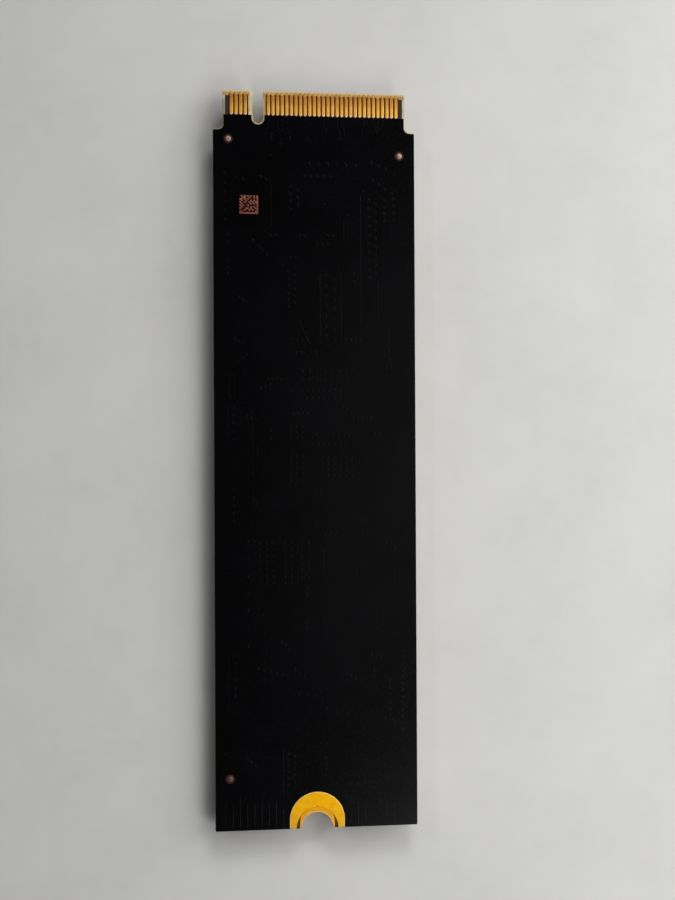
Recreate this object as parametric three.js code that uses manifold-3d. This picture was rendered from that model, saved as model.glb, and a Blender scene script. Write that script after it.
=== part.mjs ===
// A bare M.2 2280 solid state drive: a black circuit board that carries every chip on one
// face, a row of gold contacts on its tab and a half-round screw notch at its far end.
// Millimetres. X runs across the board, Y along it with the contacts at +Y, and Z up.
// The drive lies on its chips, so the bare face of the board looks up.

import * as THREE from 'three';
import { mergeVertices } from 'three/addons/utils/BufferGeometryUtils.js';
import Module from 'manifold-3d';

const wasm = await Module();
wasm.setup();

// ---- Driving dimensions -------------------------------------------------------------

// Board outline
const BOARD_WIDTH = 22;
const BOARD_LENGTH = 80;
const BOARD_THICKNESS = 0.8;
const TAB_WIDTH = 19.85;
const TAB_LENGTH = 4.24;
const SHOULDER_FILLET = 0.6;
const CORNER_RADIUS = 0.1;
const BEVEL_LENGTH = 0.6;
const BEVEL_DEPTH = 0.2;

// Key notch between contacts 58 and 68
const KEY_CENTRE_X = -6.125;
const KEY_WIDTH = 1.2;
const KEY_DEPTH = 3.6;

// Screw notch and its plated ring
const SCREW_HOLE_RADIUS = 1.75;
const SCREW_RING_RADIUS = 3;
const SCREW_RING_INSET = 0.93;
const PLATING_THICKNESS = 0.035;

// Edge contacts
const CONTACT_PITCH = 0.25;
const CONTACT_WIDTH = 0.35;
const CONTACT_ZERO_PIN = 38;
const CONTACT_FRONT_GAP = 0.05;
const CONTACT_LINK_LENGTH = 0.3;
const CONTACT_LINK_THICKNESS = 0.012;

// Solder mask
const MASK_THICKNESS = 0.03;
const MASK_FRONT = 2.69;
const MASK_SIDE_MARGIN = 0.07;
const MASK_RIM = 0.1;

// Stack of heights, from the surface that the drive lies on
const LABEL_THICKNESS = 0.08;
const MEMORY_HEIGHT = 1.3;
const CHIP_FACE_Z = LABEL_THICKNESS + MEMORY_HEIGHT;
const BOARD_BOTTOM_Z = CHIP_FACE_Z + MASK_THICKNESS;
const BOARD_TOP_Z = BOARD_BOTTOM_Z + BOARD_THICKNESS;

// Registration marks and the coded copper patch
const MARK_RADIUS = 0.28;
const MARK_CLEARANCE_RADIUS = 0.55;
const MARK_THICKNESS = 0.025;
const CODE_PAD_SIZE = 2.02;
const CODE_PAD_CENTRE = [-7.16, 12.4];

// Ball grid packages
const BALL_RADIUS = 0.2;
const BALL_HEIGHT = 0.2;
const BALL_SIDES = 6;
const BALL_EDGE_INSET = 0.9;
const SUBSTRATE_THICKNESS = 0.25;

// Controller: a moulded frame and a nickel lid, each set in from the edge of its substrate
const CONTROLLER_SIZE = 13;
const CONTROLLER_HEIGHT = 1.2;
const CONTROLLER_BALL_PITCH = 0.8;
const CONTROLLER_FRAME_INSET = 0.5;
const CONTROLLER_LID_INSET = 0.9;
const CONTROLLER_LID_THICKNESS = 0.3;
const CONTROLLER_LID_RADIUS = 0.4;

// Clock crystal: a ceramic tray under a lid that is set in from its rim
const CRYSTAL_WIDTH = 2.5;
const CRYSTAL_LENGTH = 3.2;
const CRYSTAL_TRAY_HEIGHT = 0.55;
const CRYSTAL_LID_HEIGHT = 0.12;
const CRYSTAL_LID_INSET = 0.15;
const CRYSTAL_LID_RADIUS = 0.25;

// Power inductors and two-terminal parts
const INDUCTOR_CHAMFER = 0.35;
const TERMINAL_PROUD = 0.03;

// Paper label on the flash package farthest from the contacts
const LABEL_WIDTH = 17;
const LABEL_LENGTH = 12.6;
const LABEL_RADIUS = 0.5;

// How far a chord may stray from its arc, and how many sides a small round mark has
const ARC_TOLERANCE = 0.01;
const MARK_SIDES = 16;

// Corners of a mesh that lie closer together than this are one corner
const WELD_DISTANCE = 1e-5;

const QUARTER = Math.PI / 2;

// Where each registration mark sits: [across, distance from the contact edge]
const UPPER_MARKS = {
  fiducial_tab_left: [-9.35, 5.3],
  fiducial_tab_right: [9.35, 6.82],
  fiducial_screw_end: [-9.4, 74.4],
};
const LOWER_MARKS = {
  fiducial_chip_side_tab: [9.9, 5.3],
  fiducial_chip_side_screw: [-9.8, 77.6],
};

// Contacts of each row: first pin, last pin. Even pins are on the bare face.
const EVEN_ROWS = { contacts_even_main: [2, 58], contacts_even_key: [68, 74] };
const ODD_ROWS = { contacts_odd_main: [1, 57], contacts_odd_key: [67, 75] };

// Memory packages: name, width, length, height, ball pitch, [across, from the contact edge]
const FLASH_FAR_PLACE = [0, 64.6];
const MEMORY_PACKAGES = [
  ['flash_memory_near', 18, 14, MEMORY_HEIGHT, 1, [0, 20.2]],
  ['flash_memory_far', 18, 14, MEMORY_HEIGHT, 1, FLASH_FAR_PLACE],
  ['buffer_memory', 7.5, 11, 1.1, 0.8, [-3.6, 50.6]],
];
const CONTROLLER_PLACE = [0.2, 36.4];
const CRYSTAL_PLACE = [-8.6, 33.6];

// Leadless packages: name, width, length, height, [across, from the contact edge]
const LEADLESS_PACKAGES = [
  ['power_management_chip', 5, 5, 0.85, [-3.6, 8.9]],
  ['load_switch', 2, 2, 0.6, [-9.2, 8.1]],
  ['firmware_chip', 4, 3, 0.6, [3.6, 47.4]],
  ['core_regulator', 3, 3, 0.8, [3.2, 51.9]],
  ['temperature_sensor', 2, 2, 0.6, [-6.8, 74.4]],
];

// Power inductors: name, size, height, [across, from the contact edge]
const POWER_INDUCTORS = [
  ['power_inductor_1', 4, 1.2, [2.4, 8.8]],
  ['power_inductor_2', 4, 1.2, [7.2, 8.8]],
  ['power_inductor_3', 3, 1, [9, 39.6]],
  ['power_inductor_4', 4, 1.2, [8, 53]],
];

// Case sizes of two-terminal parts: [length, width, height, terminal length]
const CASE_BULK = [3.5, 2.8, 1.2, 0.8];
const CASE_1206 = [3.2, 1.6, 1.15, 0.5];
const CASE_0805 = [2, 1.25, 0.85, 0.4];
const CASE_0603 = [1.6, 0.8, 0.8, 0.3];
const CASE_ARRAY = [2, 1, 0.45, 0.25];

// ---- Finishes -----------------------------------------------------------------------

function finish(color, roughness, metalness) {
  return () => new THREE.MeshStandardMaterial({ color, roughness, metalness });
}

const laminate = finish(0xb9a36a, 0.7, 0);
const blackMask = finish(0x0b0b0e, 0.35, 0);
const gold = finish(0xdca21e, 0.3, 1);
const bareCopper = finish(0xb98a6c, 0.4, 1);
const moldCompound = finish(0x1b1b1d, 0.65, 0);
const substrateGreen = finish(0x1f3a2a, 0.5, 0);
const nickel = finish(0xb4b6b8, 0.35, 1);
const ferrite = finish(0x3a3c3f, 0.6, 0.2);
const ceramicTan = finish(0x9b7a5b, 0.5, 0);
const resistorBlack = finish(0x16171a, 0.4, 0);
const labelPaper = finish(0xe9e9e6, 0.6, 0);

// ---- Solid helpers ------------------------------------------------------------------

// The distance from the contact edge becomes a place along Y.
function along(distance) {
  return BOARD_LENGTH / 2 - distance;
}

function toSolid(geometry) {
  const bare = geometry.clone();
  bare.deleteAttribute('normal');
  bare.deleteAttribute('uv');
  const merged = mergeVertices(bare, WELD_DISTANCE);
  return new wasm.Manifold(new wasm.Mesh({
    numProp: 3,
    vertProperties: new Float32Array(merged.attributes.position.array),
    triVerts: new Uint32Array(merged.index.array),
  }));
}

function toGeometry(solid) {
  const mesh = solid.getMesh();
  const geometry = new THREE.BufferGeometry();
  geometry.setAttribute('position', new THREE.BufferAttribute(mesh.vertProperties, 3));
  geometry.setIndex(new THREE.BufferAttribute(mesh.triVerts, 1));
  geometry.computeVertexNormals();
  return geometry;
}

// Points along an arc, with as many chords as the tolerance asks for.
function arc(centreX, centreY, radius, from, to) {
  const chordAngle = 2 * Math.acos(1 - ARC_TOLERANCE / radius);
  const steps = Math.max(2, Math.ceil(Math.abs(to - from) / chordAngle));
  return Array.from({ length: steps + 1 }, (_, step) => {
    const angle = from + (to - from) * step / steps;
    return new THREE.Vector2(centreX + radius * Math.cos(angle), centreY + radius * Math.sin(angle));
  });
}

function block(centreX, centreY, sizeX, sizeY, bottom, top) {
  const geometry = new THREE.BoxGeometry(sizeX, sizeY, top - bottom);
  return geometry.translate(centreX, centreY, (bottom + top) / 2);
}

function slab(shape, bottom, top) {
  const geometry = new THREE.ExtrudeGeometry(shape, { depth: top - bottom, bevelEnabled: false });
  return geometry.translate(0, 0, bottom);
}

function namedMesh(name, geometry, makeMaterial) {
  const mesh = new THREE.Mesh(geometry, makeMaterial());
  mesh.name = name;
  return mesh;
}

// ---- Circuit board ------------------------------------------------------------------

// The outline of the board, or of the mask on it when the tab's margins are above zero.
function boardOutline(front, sideMargin, rim, notchRadius) {
  const halfTab = TAB_WIDTH / 2 - sideMargin;
  const tabTop = along(front);
  const shoulder = along(TAB_LENGTH + rim);
  const filletX = halfTab + SHOULDER_FILLET;
  const filletY = shoulder + SHOULDER_FILLET;
  const cornerX = BOARD_WIDTH / 2 - CORNER_RADIUS;
  const end = along(BOARD_LENGTH);
  const keyRadius = KEY_WIDTH / 2 + rim;
  const keyEnd = along(KEY_DEPTH - KEY_WIDTH / 2);

  return new THREE.Shape([
    new THREE.Vector2(-halfTab, tabTop),
    ...arc(-filletX, filletY, SHOULDER_FILLET, 0, -QUARTER),
    ...arc(-cornerX, shoulder - CORNER_RADIUS, CORNER_RADIUS, QUARTER, 2 * QUARTER),
    ...arc(-cornerX, end + CORNER_RADIUS, CORNER_RADIUS, 2 * QUARTER, 3 * QUARTER),
    ...arc(0, end, notchRadius, Math.PI, 0),
    ...arc(cornerX, end + CORNER_RADIUS, CORNER_RADIUS, 3 * QUARTER, 4 * QUARTER),
    ...arc(cornerX, shoulder - CORNER_RADIUS, CORNER_RADIUS, 0, QUARTER),
    ...arc(filletX, filletY, SHOULDER_FILLET, -QUARTER, -2 * QUARTER),
    new THREE.Vector2(halfTab, tabTop),
    new THREE.Vector2(KEY_CENTRE_X + keyRadius, tabTop),
    ...arc(KEY_CENTRE_X, keyEnd, keyRadius, 0, -2 * QUARTER),
    new THREE.Vector2(KEY_CENTRE_X - keyRadius, tabTop),
  ]);
}

// A wedge that mills the front edge of the tab down to the bevel.
function bevelWedge(faceZ, inward) {
  const overshoot = 0.2;
  const slope = BEVEL_DEPTH / BEVEL_LENGTH;
  const profile = new THREE.Shape([
    new THREE.Vector2(along(BEVEL_LENGTH + overshoot), faceZ - inward * overshoot * slope),
    new THREE.Vector2(along(-overshoot), faceZ + inward * (BEVEL_LENGTH + overshoot) * slope),
    new THREE.Vector2(along(-overshoot), faceZ - inward * overshoot),
  ]);
  const wedge = new THREE.ExtrudeGeometry(profile, { depth: BOARD_WIDTH, bevelEnabled: false });
  // The profile was drawn in Y and Z: turn it so that it runs across the board.
  const turn = new THREE.Matrix4().set(
    0, 0, 1, -BOARD_WIDTH / 2,
    1, 0, 0, 0,
    0, 1, 0, 0,
    0, 0, 0, 1);
  return wedge.applyMatrix4(turn);
}

function circuitBoard() {
  const outline = boardOutline(0, 0, 0, SCREW_HOLE_RADIUS + PLATING_THICKNESS);
  let solid = toSolid(slab(outline, BOARD_BOTTOM_Z, BOARD_TOP_Z));
  solid = solid.subtract(toSolid(bevelWedge(BOARD_TOP_Z, -1)));
  solid = solid.subtract(toSolid(bevelWedge(BOARD_BOTTOM_Z, 1)));
  return namedMesh('circuit_board', toGeometry(solid), laminate);
}

// ---- Screw notch plating ------------------------------------------------------------

// The U-shaped ring round the notch: a half circle with straight legs to the board's end.
function screwRing(outerRadius, innerRadius, bottom, top) {
  const end = along(BOARD_LENGTH);
  const shape = new THREE.Shape([
    ...arc(0, end, innerRadius, Math.PI, 0),
    new THREE.Vector2(outerRadius, end),
    ...arc(0, end + SCREW_RING_INSET, outerRadius, 0, Math.PI),
    new THREE.Vector2(-outerRadius, end),
  ]);
  return slab(shape, bottom, top);
}

function screwNotchPlating() {
  const end = along(BOARD_LENGTH);
  const top = BOARD_TOP_Z + PLATING_THICKNESS;
  const bottom = BOARD_BOTTOM_Z - PLATING_THICKNESS;
  const wall = new THREE.Shape([
    ...arc(0, end, SCREW_HOLE_RADIUS, Math.PI, 0),
    ...arc(0, end, SCREW_HOLE_RADIUS + PLATING_THICKNESS, 0, Math.PI),
  ]);
  let solid = toSolid(slab(wall, bottom, top));
  const ring = [SCREW_RING_RADIUS, SCREW_HOLE_RADIUS];
  solid = solid.add(toSolid(screwRing(...ring, BOARD_TOP_Z, top)));
  solid = solid.add(toSolid(screwRing(...ring, bottom, BOARD_BOTTOM_Z)));
  return namedMesh('screw_notch_plating', toGeometry(solid), gold);
}

// ---- Edge contacts ------------------------------------------------------------------

function contactX(pin) {
  return (CONTACT_ZERO_PIN - pin) * CONTACT_PITCH;
}

// The strip of copper under the mask that joins the roots of a row, from one height to another.
function contactLink([firstPin, lastPin], fromZ, toZ) {
  const left = contactX(lastPin) - CONTACT_WIDTH / 2;
  const right = contactX(firstPin) + CONTACT_WIDTH / 2;
  const back = along(MASK_FRONT + CONTACT_LINK_LENGTH);
  const front = along(MASK_FRONT);
  return block((left + right) / 2, (front + back) / 2, right - left, front - back,
    Math.min(fromZ, toZ), Math.max(fromZ, toZ));
}

// One row of contacts on one face, joined at their roots.
function contactRow(name, pins, faceZ, outward) {
  const front = along(BEVEL_LENGTH + CONTACT_FRONT_GAP);
  const back = along(MASK_FRONT);
  const outer = faceZ + outward * PLATING_THICKNESS;
  const low = Math.min(faceZ, outer);
  const high = Math.max(faceZ, outer);
  let solid = toSolid(contactLink(pins, faceZ, faceZ + outward * CONTACT_LINK_THICKNESS));
  for (let pin = pins[0]; pin <= pins[1]; pin += 2) {
    const contact = block(contactX(pin), (front + back) / 2, CONTACT_WIDTH, front - back, low, high);
    solid = solid.add(toSolid(contact));
  }
  return namedMesh(name, toGeometry(solid), gold);
}

function contactRows(rows, faceZ, outward) {
  return Object.entries(rows).map(([name, pins]) => contactRow(name, pins, faceZ, outward));
}

// ---- Solder mask, registration marks and code patch ---------------------------------

function disc([across, distance], radius, bottom, top) {
  const geometry = new THREE.CylinderGeometry(radius, radius, top - bottom, MARK_SIDES);
  geometry.rotateX(QUARTER);
  return geometry.translate(across, along(distance), (bottom + top) / 2);
}

// The mask on one face leaves its marks, its screw ring and its contacts' joining strips free.
function solderMask(faceZ, outerZ, marks, rows) {
  const bottom = Math.min(faceZ, outerZ);
  const top = Math.max(faceZ, outerZ);
  const outline = boardOutline(MASK_FRONT, MASK_SIDE_MARGIN, MASK_RIM, SCREW_RING_RADIUS);
  let solid = toSolid(slab(outline, bottom, top));
  const over = MASK_THICKNESS;
  solid = solid.subtract(toSolid(screwRing(SCREW_RING_RADIUS, SCREW_HOLE_RADIUS,
    bottom - over, top + over)));
  for (const place of Object.values(marks)) {
    solid = solid.subtract(toSolid(disc(place, MARK_CLEARANCE_RADIUS, bottom - over, top + over)));
  }
  for (const pins of Object.values(rows)) {
    solid = solid.subtract(toSolid(contactLink(pins, faceZ - CONTACT_LINK_THICKNESS,
      faceZ + CONTACT_LINK_THICKNESS)));
  }
  return solid;
}

function registrationMarks(marks, bottom, top) {
  return Object.entries(marks).map(([name, place]) => namedMesh(name,
    disc(place, MARK_RADIUS, bottom, top), bareCopper));
}

function codePad(bottom, top) {
  const [across, distance] = CODE_PAD_CENTRE;
  return block(across, along(distance), CODE_PAD_SIZE, CODE_PAD_SIZE, bottom, top);
}

// ---- Chip side: packages ------------------------------------------------------------

// Everything on the chip side hangs down from the mask: a height is a distance below it.
function placeOnChipSide(meshes, place) {
  const group = new THREE.Group();
  group.position.set(place[0], along(place[1]), CHIP_FACE_Z);
  group.add(...meshes);
  return group;
}

// The outer ring of solder balls under a package, as short six-sided posts.
function ballRing(width, length, pitch, top, bottom) {
  const columns = Math.round((width - 2 * BALL_EDGE_INSET) / pitch);
  const rows = Math.round((length - 2 * BALL_EDGE_INSET) / pitch);
  const balls = [];
  for (let column = 0; column <= columns; column += 1) {
    for (let row = 0; row <= rows; row += 1) {
      const outer = column === 0 || column === columns || row === 0 || row === rows;
      if (outer) {
        const ball = new THREE.CylinderGeometry(BALL_RADIUS, BALL_RADIUS, top - bottom, BALL_SIDES);
        ball.rotateX(QUARTER);
        ball.translate((column - columns / 2) * pitch, (row - rows / 2) * pitch, (top + bottom) / 2);
        balls.push(ball);
      }
    }
  }
  return balls;
}

// A laminate plate that stands on its solder balls.
function ballSubstrate(name, width, length, pitch) {
  const plateTop = -BALL_HEIGHT;
  const plateBottom = plateTop - SUBSTRATE_THICKNESS;
  const intoPlate = plateTop - SUBSTRATE_THICKNESS / 4;
  let solid = toSolid(block(0, 0, width, length, plateBottom, plateTop));
  for (const ball of ballRing(width, length, pitch, 0, intoPlate)) {
    solid = solid.add(toSolid(ball));
  }
  return namedMesh(name, toGeometry(solid), substrateGreen);
}

// A moulded memory package: substrate on balls, and black compound sawn flush with it.
function memoryPackage(name, width, length, height, pitch, place) {
  const moldTop = -BALL_HEIGHT - SUBSTRATE_THICKNESS;
  return placeOnChipSide([
    ballSubstrate(`${name}_substrate`, width, length, pitch),
    namedMesh(`${name}_mold`, block(0, 0, width, length, -height, moldTop), moldCompound),
  ], place);
}

// The controller: a wider substrate, a moulded frame and a nickel plated heat spreader.
function controllerPackage() {
  const size = CONTROLLER_SIZE;
  const frameSize = size - 2 * CONTROLLER_FRAME_INSET;
  const lidSize = size - 2 * CONTROLLER_LID_INSET;
  const frameTop = -BALL_HEIGHT - SUBSTRATE_THICKNESS;
  const frameBottom = -CONTROLLER_HEIGHT + CONTROLLER_LID_THICKNESS;
  const frame = block(0, 0, frameSize, frameSize, frameBottom, frameTop);
  const lid = slab(roundedRectangle(lidSize, lidSize, CONTROLLER_LID_RADIUS),
    -CONTROLLER_HEIGHT, frameBottom);
  return placeOnChipSide([
    ballSubstrate('controller_substrate', size, size, CONTROLLER_BALL_PITCH),
    namedMesh('controller_mold', frame, moldCompound),
    namedMesh('controller_lid', lid, nickel),
  ], CONTROLLER_PLACE);
}

function roundedRectangle(width, length, radius) {
  const x = width / 2 - radius;
  const y = length / 2 - radius;
  return new THREE.Shape([
    ...arc(x, y, radius, 0, QUARTER),
    ...arc(-x, y, radius, QUARTER, 2 * QUARTER),
    ...arc(-x, -y, radius, 2 * QUARTER, 3 * QUARTER),
    ...arc(x, -y, radius, 3 * QUARTER, 4 * QUARTER),
  ]);
}

function chamferedRectangle(width, length, chamfer) {
  const x = width / 2;
  const y = length / 2;
  return new THREE.Shape([
    new THREE.Vector2(x - chamfer, -y),
    new THREE.Vector2(x, -y + chamfer),
    new THREE.Vector2(x, y - chamfer),
    new THREE.Vector2(x - chamfer, y),
    new THREE.Vector2(-x + chamfer, y),
    new THREE.Vector2(-x, y - chamfer),
    new THREE.Vector2(-x, -y + chamfer),
    new THREE.Vector2(-x + chamfer, -y),
  ]);
}

// A leadless package that lies flat on the board, such as a regulator or a flash chip.
function leadlessPackage(name, width, length, height, place) {
  return placeOnChipSide([
    namedMesh(name, block(0, 0, width, length, -height, 0), moldCompound),
  ], place);
}

function powerInductor(name, size, height, place) {
  const body = slab(chamferedRectangle(size, size, INDUCTOR_CHAMFER), -height, 0);
  return placeOnChipSide([namedMesh(name, body, ferrite)], place);
}

// The clock crystal: a ceramic tray under a seam-welded metal lid.
function clockCrystal() {
  const lidWidth = CRYSTAL_WIDTH - 2 * CRYSTAL_LID_INSET;
  const lidLength = CRYSTAL_LENGTH - 2 * CRYSTAL_LID_INSET;
  const tray = block(0, 0, CRYSTAL_WIDTH, CRYSTAL_LENGTH, -CRYSTAL_TRAY_HEIGHT, 0);
  const lid = slab(roundedRectangle(lidWidth, lidLength, CRYSTAL_LID_RADIUS),
    -CRYSTAL_TRAY_HEIGHT - CRYSTAL_LID_HEIGHT, -CRYSTAL_TRAY_HEIGHT);
  return placeOnChipSide([
    namedMesh('clock_crystal_base', tray, ceramicTan),
    namedMesh('clock_crystal_lid', lid, nickel),
  ], CRYSTAL_PLACE);
}

// ---- Chip side: two-terminal parts --------------------------------------------------

// Terminals stand a little proud of the body: the profile is drawn from the side.
function chipProfile(length, height, terminal) {
  const proud = TERMINAL_PROUD;
  const half = length / 2;
  const step = half - terminal;
  const corners = [
    [-half, 0], [-half, -height], [-step, -height], [-step, -height + proud],
    [step, -height + proud], [step, -height], [half, -height], [half, 0],
    [step, 0], [step, -proud], [-step, -proud], [-step, 0],
  ];
  return new THREE.Shape(corners.map(([x, z]) => new THREE.Vector2(x, z)));
}

function twoTerminalPart(name, [length, width, height, terminal], makeMaterial, place, turned) {
  const body = new THREE.ExtrudeGeometry(chipProfile(length, height, terminal),
    { depth: width, bevelEnabled: false });
  // The profile was drawn in X and Z: stand it up and centre it across its width.
  body.applyMatrix4(new THREE.Matrix4().set(
    1, 0, 0, 0,
    0, 0, -1, width / 2,
    0, 1, 0, 0,
    0, 0, 0, 1));
  const mesh = namedMesh(name, body, makeMaterial);
  if (turned) {
    mesh.rotation.z = QUARTER;
  }
  return placeOnChipSide([mesh], place);
}

// Each line: name, case, finish, [across, distance from the contact edge], turned a quarter
const TWO_TERMINAL_PARTS = [
  ['bulk_capacitor_host', CASE_BULK, moldCompound, [8.5, 47.6], false],
  ['bulk_capacitor_end', CASE_BULK, moldCompound, [7.6, 74.6], false],
  ['capacitor_input_1', CASE_1206, ceramicTan, [-8.6, 10.3], false],
  ['capacitor_input_2', CASE_1206, ceramicTan, [-8.6, 12.2], false],
  ['capacitor_core', CASE_0805, ceramicTan, [9.2, 35.6], true],
  ['capacitor_memory', CASE_0805, ceramicTan, [2.6, 55.3], false],
  ['capacitor_tab_1', CASE_0603, ceramicTan, [-4.9, 5.2], false],
  ['capacitor_tab_2', CASE_0603, ceramicTan, [-2.5, 5.2], false],
  ['capacitor_tab_3', CASE_0603, ceramicTan, [0, 5.2], false],
  ['capacitor_tab_4', CASE_0603, ceramicTan, [2.5, 5.2], false],
  ['capacitor_tab_5', CASE_0603, ceramicTan, [5, 5.2], false],
  ['capacitor_output_1', CASE_0603, ceramicTan, [2.4, 11.9], false],
  ['capacitor_output_2', CASE_0603, ceramicTan, [7.2, 11.9], false],
  ['capacitor_side_1', CASE_0603, ceramicTan, [9.2, 31.2], true],
  ['capacitor_side_2', CASE_0603, ceramicTan, [-9.3, 48], true],
  ['capacitor_end_1', CASE_0603, ceramicTan, [-2.6, 73.4], false],
  ['capacitor_end_2', CASE_0603, ceramicTan, [1.4, 73.4], false],
  ['resistor_sense', CASE_0603, resistorBlack, [-8.9, 5.6], true],
  ['resistor_strap_1', CASE_0603, resistorBlack, [-9.3, 52], true],
  ['resistor_strap_2', CASE_0603, resistorBlack, [-9.3, 55], true],
  ['resistor_array_1', CASE_ARRAY, resistorBlack, [-8.6, 38.3], false],
  ['resistor_array_2', CASE_ARRAY, resistorBlack, [-8.6, 40.6], false],
];

// ---- Assembly -----------------------------------------------------------------------

function bareSide() {
  const maskTop = BOARD_TOP_Z + MASK_THICKNESS;
  const markTop = BOARD_TOP_Z + MARK_THICKNESS;
  const patchOpening = toSolid(codePad(BOARD_BOTTOM_Z, maskTop + MASK_THICKNESS));
  const mask = solderMask(BOARD_TOP_Z, maskTop, UPPER_MARKS, EVEN_ROWS).subtract(patchOpening);
  const group = new THREE.Group();
  group.add(...contactRows(EVEN_ROWS, BOARD_TOP_Z, 1));
  group.add(namedMesh('solder_mask_bare_side', toGeometry(mask), blackMask));
  group.add(...registrationMarks(UPPER_MARKS, BOARD_TOP_Z, markTop));
  group.add(namedMesh('matrix_code_pad', codePad(BOARD_TOP_Z, markTop), bareCopper));
  return group;
}

function chipSide() {
  const markBottom = BOARD_BOTTOM_Z - MARK_THICKNESS;
  const mask = solderMask(BOARD_BOTTOM_Z, CHIP_FACE_Z, LOWER_MARKS, ODD_ROWS);
  const group = new THREE.Group();
  group.add(...contactRows(ODD_ROWS, BOARD_BOTTOM_Z, -1));
  group.add(namedMesh('solder_mask_chip_side', toGeometry(mask), blackMask));
  group.add(...registrationMarks(LOWER_MARKS, markBottom, BOARD_BOTTOM_Z));
  group.add(...MEMORY_PACKAGES.map((line) => memoryPackage(...line)));
  group.add(controllerPackage());
  group.add(clockCrystal());
  group.add(...LEADLESS_PACKAGES.map((line) => leadlessPackage(...line)));
  group.add(...POWER_INDUCTORS.map((line) => powerInductor(...line)));
  group.add(...TWO_TERMINAL_PARTS.map((line) => twoTerminalPart(...line)));
  return group;
}

// The paper label lies on the far flash package, and the drive rests on it.
function label() {
  const sheet = roundedRectangle(LABEL_WIDTH, LABEL_LENGTH, LABEL_RADIUS);
  const mesh = namedMesh('label', slab(sheet, 0, LABEL_THICKNESS), labelPaper);
  mesh.position.set(FLASH_FAR_PLACE[0], along(FLASH_FAR_PLACE[1]), 0);
  return mesh;
}

const group = new THREE.Group();
group.add(circuitBoard());
group.add(screwNotchPlating());
group.add(bareSide());
group.add(chipSide());
group.add(label());

export default group;
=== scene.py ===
import math
import random

import bmesh
import bpy
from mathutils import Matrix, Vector


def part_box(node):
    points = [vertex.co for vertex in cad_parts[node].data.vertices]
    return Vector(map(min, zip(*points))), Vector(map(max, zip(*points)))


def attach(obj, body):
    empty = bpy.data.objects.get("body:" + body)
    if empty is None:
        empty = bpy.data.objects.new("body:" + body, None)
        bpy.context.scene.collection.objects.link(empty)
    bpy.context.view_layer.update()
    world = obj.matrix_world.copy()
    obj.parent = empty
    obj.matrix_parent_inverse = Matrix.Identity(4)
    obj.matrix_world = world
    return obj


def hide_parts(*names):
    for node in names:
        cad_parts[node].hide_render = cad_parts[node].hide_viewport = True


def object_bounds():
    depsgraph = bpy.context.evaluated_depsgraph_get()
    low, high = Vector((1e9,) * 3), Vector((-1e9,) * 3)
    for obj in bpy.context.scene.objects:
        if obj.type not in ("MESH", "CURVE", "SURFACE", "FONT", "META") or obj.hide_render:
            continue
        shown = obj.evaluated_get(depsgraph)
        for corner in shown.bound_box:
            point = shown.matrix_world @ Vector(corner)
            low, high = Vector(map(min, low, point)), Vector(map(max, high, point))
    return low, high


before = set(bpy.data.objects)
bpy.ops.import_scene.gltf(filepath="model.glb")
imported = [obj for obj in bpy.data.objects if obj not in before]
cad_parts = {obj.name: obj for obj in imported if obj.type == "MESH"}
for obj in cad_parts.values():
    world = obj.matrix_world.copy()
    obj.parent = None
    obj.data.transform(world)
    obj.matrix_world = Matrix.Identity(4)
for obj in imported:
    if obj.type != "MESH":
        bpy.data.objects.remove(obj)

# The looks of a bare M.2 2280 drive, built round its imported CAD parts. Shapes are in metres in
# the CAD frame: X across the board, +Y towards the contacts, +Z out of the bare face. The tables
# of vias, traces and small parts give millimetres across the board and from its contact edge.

CAD_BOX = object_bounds()
MM = 0.001
ROOT = "root"

# ---- Places taken from the frame ----

BOARD_LOW, BOARD_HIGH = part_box("circuit_board")
MASK_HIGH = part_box("solder_mask_bare_side")[1]
FLOOR_Z = CAD_BOX[0][2]


class Face:
    """One face of the board: its laminate, its mask, the height of its metal, and which way is out."""

    def __init__(self, laminate, mask, contacts, out):
        self.laminate = laminate
        self.mask = mask
        self.plating = abs(contacts - laminate)
        self.out = out


BARE = Face(BOARD_HIGH.z, MASK_HIGH.z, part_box("contacts_even_main")[1].z, 1)
CHIP = Face(BOARD_LOW.z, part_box("solder_mask_chip_side")[0].z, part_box("contacts_odd_main")[0].z, -1)


def along(distance):
    """The place along Y that is so many millimetres from the contact edge."""
    return BOARD_HIGH.y - distance * MM


def stops_across(node, y):
    """Where a node's outline crosses a line across the board: its corners' places along X."""
    corners = [v.co.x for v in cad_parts[node].data.vertices if abs(v.co.y - y) < MM / 50]
    return sorted({round(x, 6) for x in corners})


TAB_LEFT, KEY_LEFT, KEY_RIGHT, TAB_RIGHT = stops_across("circuit_board", BOARD_HIGH.y)
HOLE_RADIUS = min(abs(x) for x in stops_across("screw_notch_plating", BOARD_LOW.y))
RING_LOW, RING_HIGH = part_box("screw_notch_plating")
RING_RADIUS = RING_HIGH.x
RING_CENTRE_Y = RING_HIGH.y - RING_RADIUS
GROOVE_RADIUS = 2.27 * MM
BOARD_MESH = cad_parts["circuit_board"].data
BEVEL_FACES = [face for face in BOARD_MESH.polygons
               if face.center.y > MASK_HIGH.y and 0.5 < face.normal.z < 0.99]
BEVEL_SLOPE = BEVEL_FACES[0].normal.y / BEVEL_FACES[0].normal.z
BEVEL_START = min(BOARD_MESH.vertices[index].co.y for face in BEVEL_FACES for index in face.vertices)


# ---- Outlines and profiles ----

FILM = 0.002 * MM
SINK = 0.01 * MM


def arc(centre, radius, start, end, steps):
    """Points on an arc, from one angle to another in degrees."""
    angles = [math.radians(start + (end - start) * step / steps) for step in range(steps + 1)]
    return [beside(centre, (math.cos(a), math.sin(a)), radius) for a in angles]


def beside(place, axis, distance):
    """The place that is so far from another along an axis."""
    return (place[0] + axis[0] * distance, place[1] + axis[1] * distance)


def both_ways(axis):
    return ((-axis[0], -axis[1]), axis)


def square_corners(left, front, right, back):
    return [(left, front), (right, front), (right, back), (left, back)]


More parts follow.
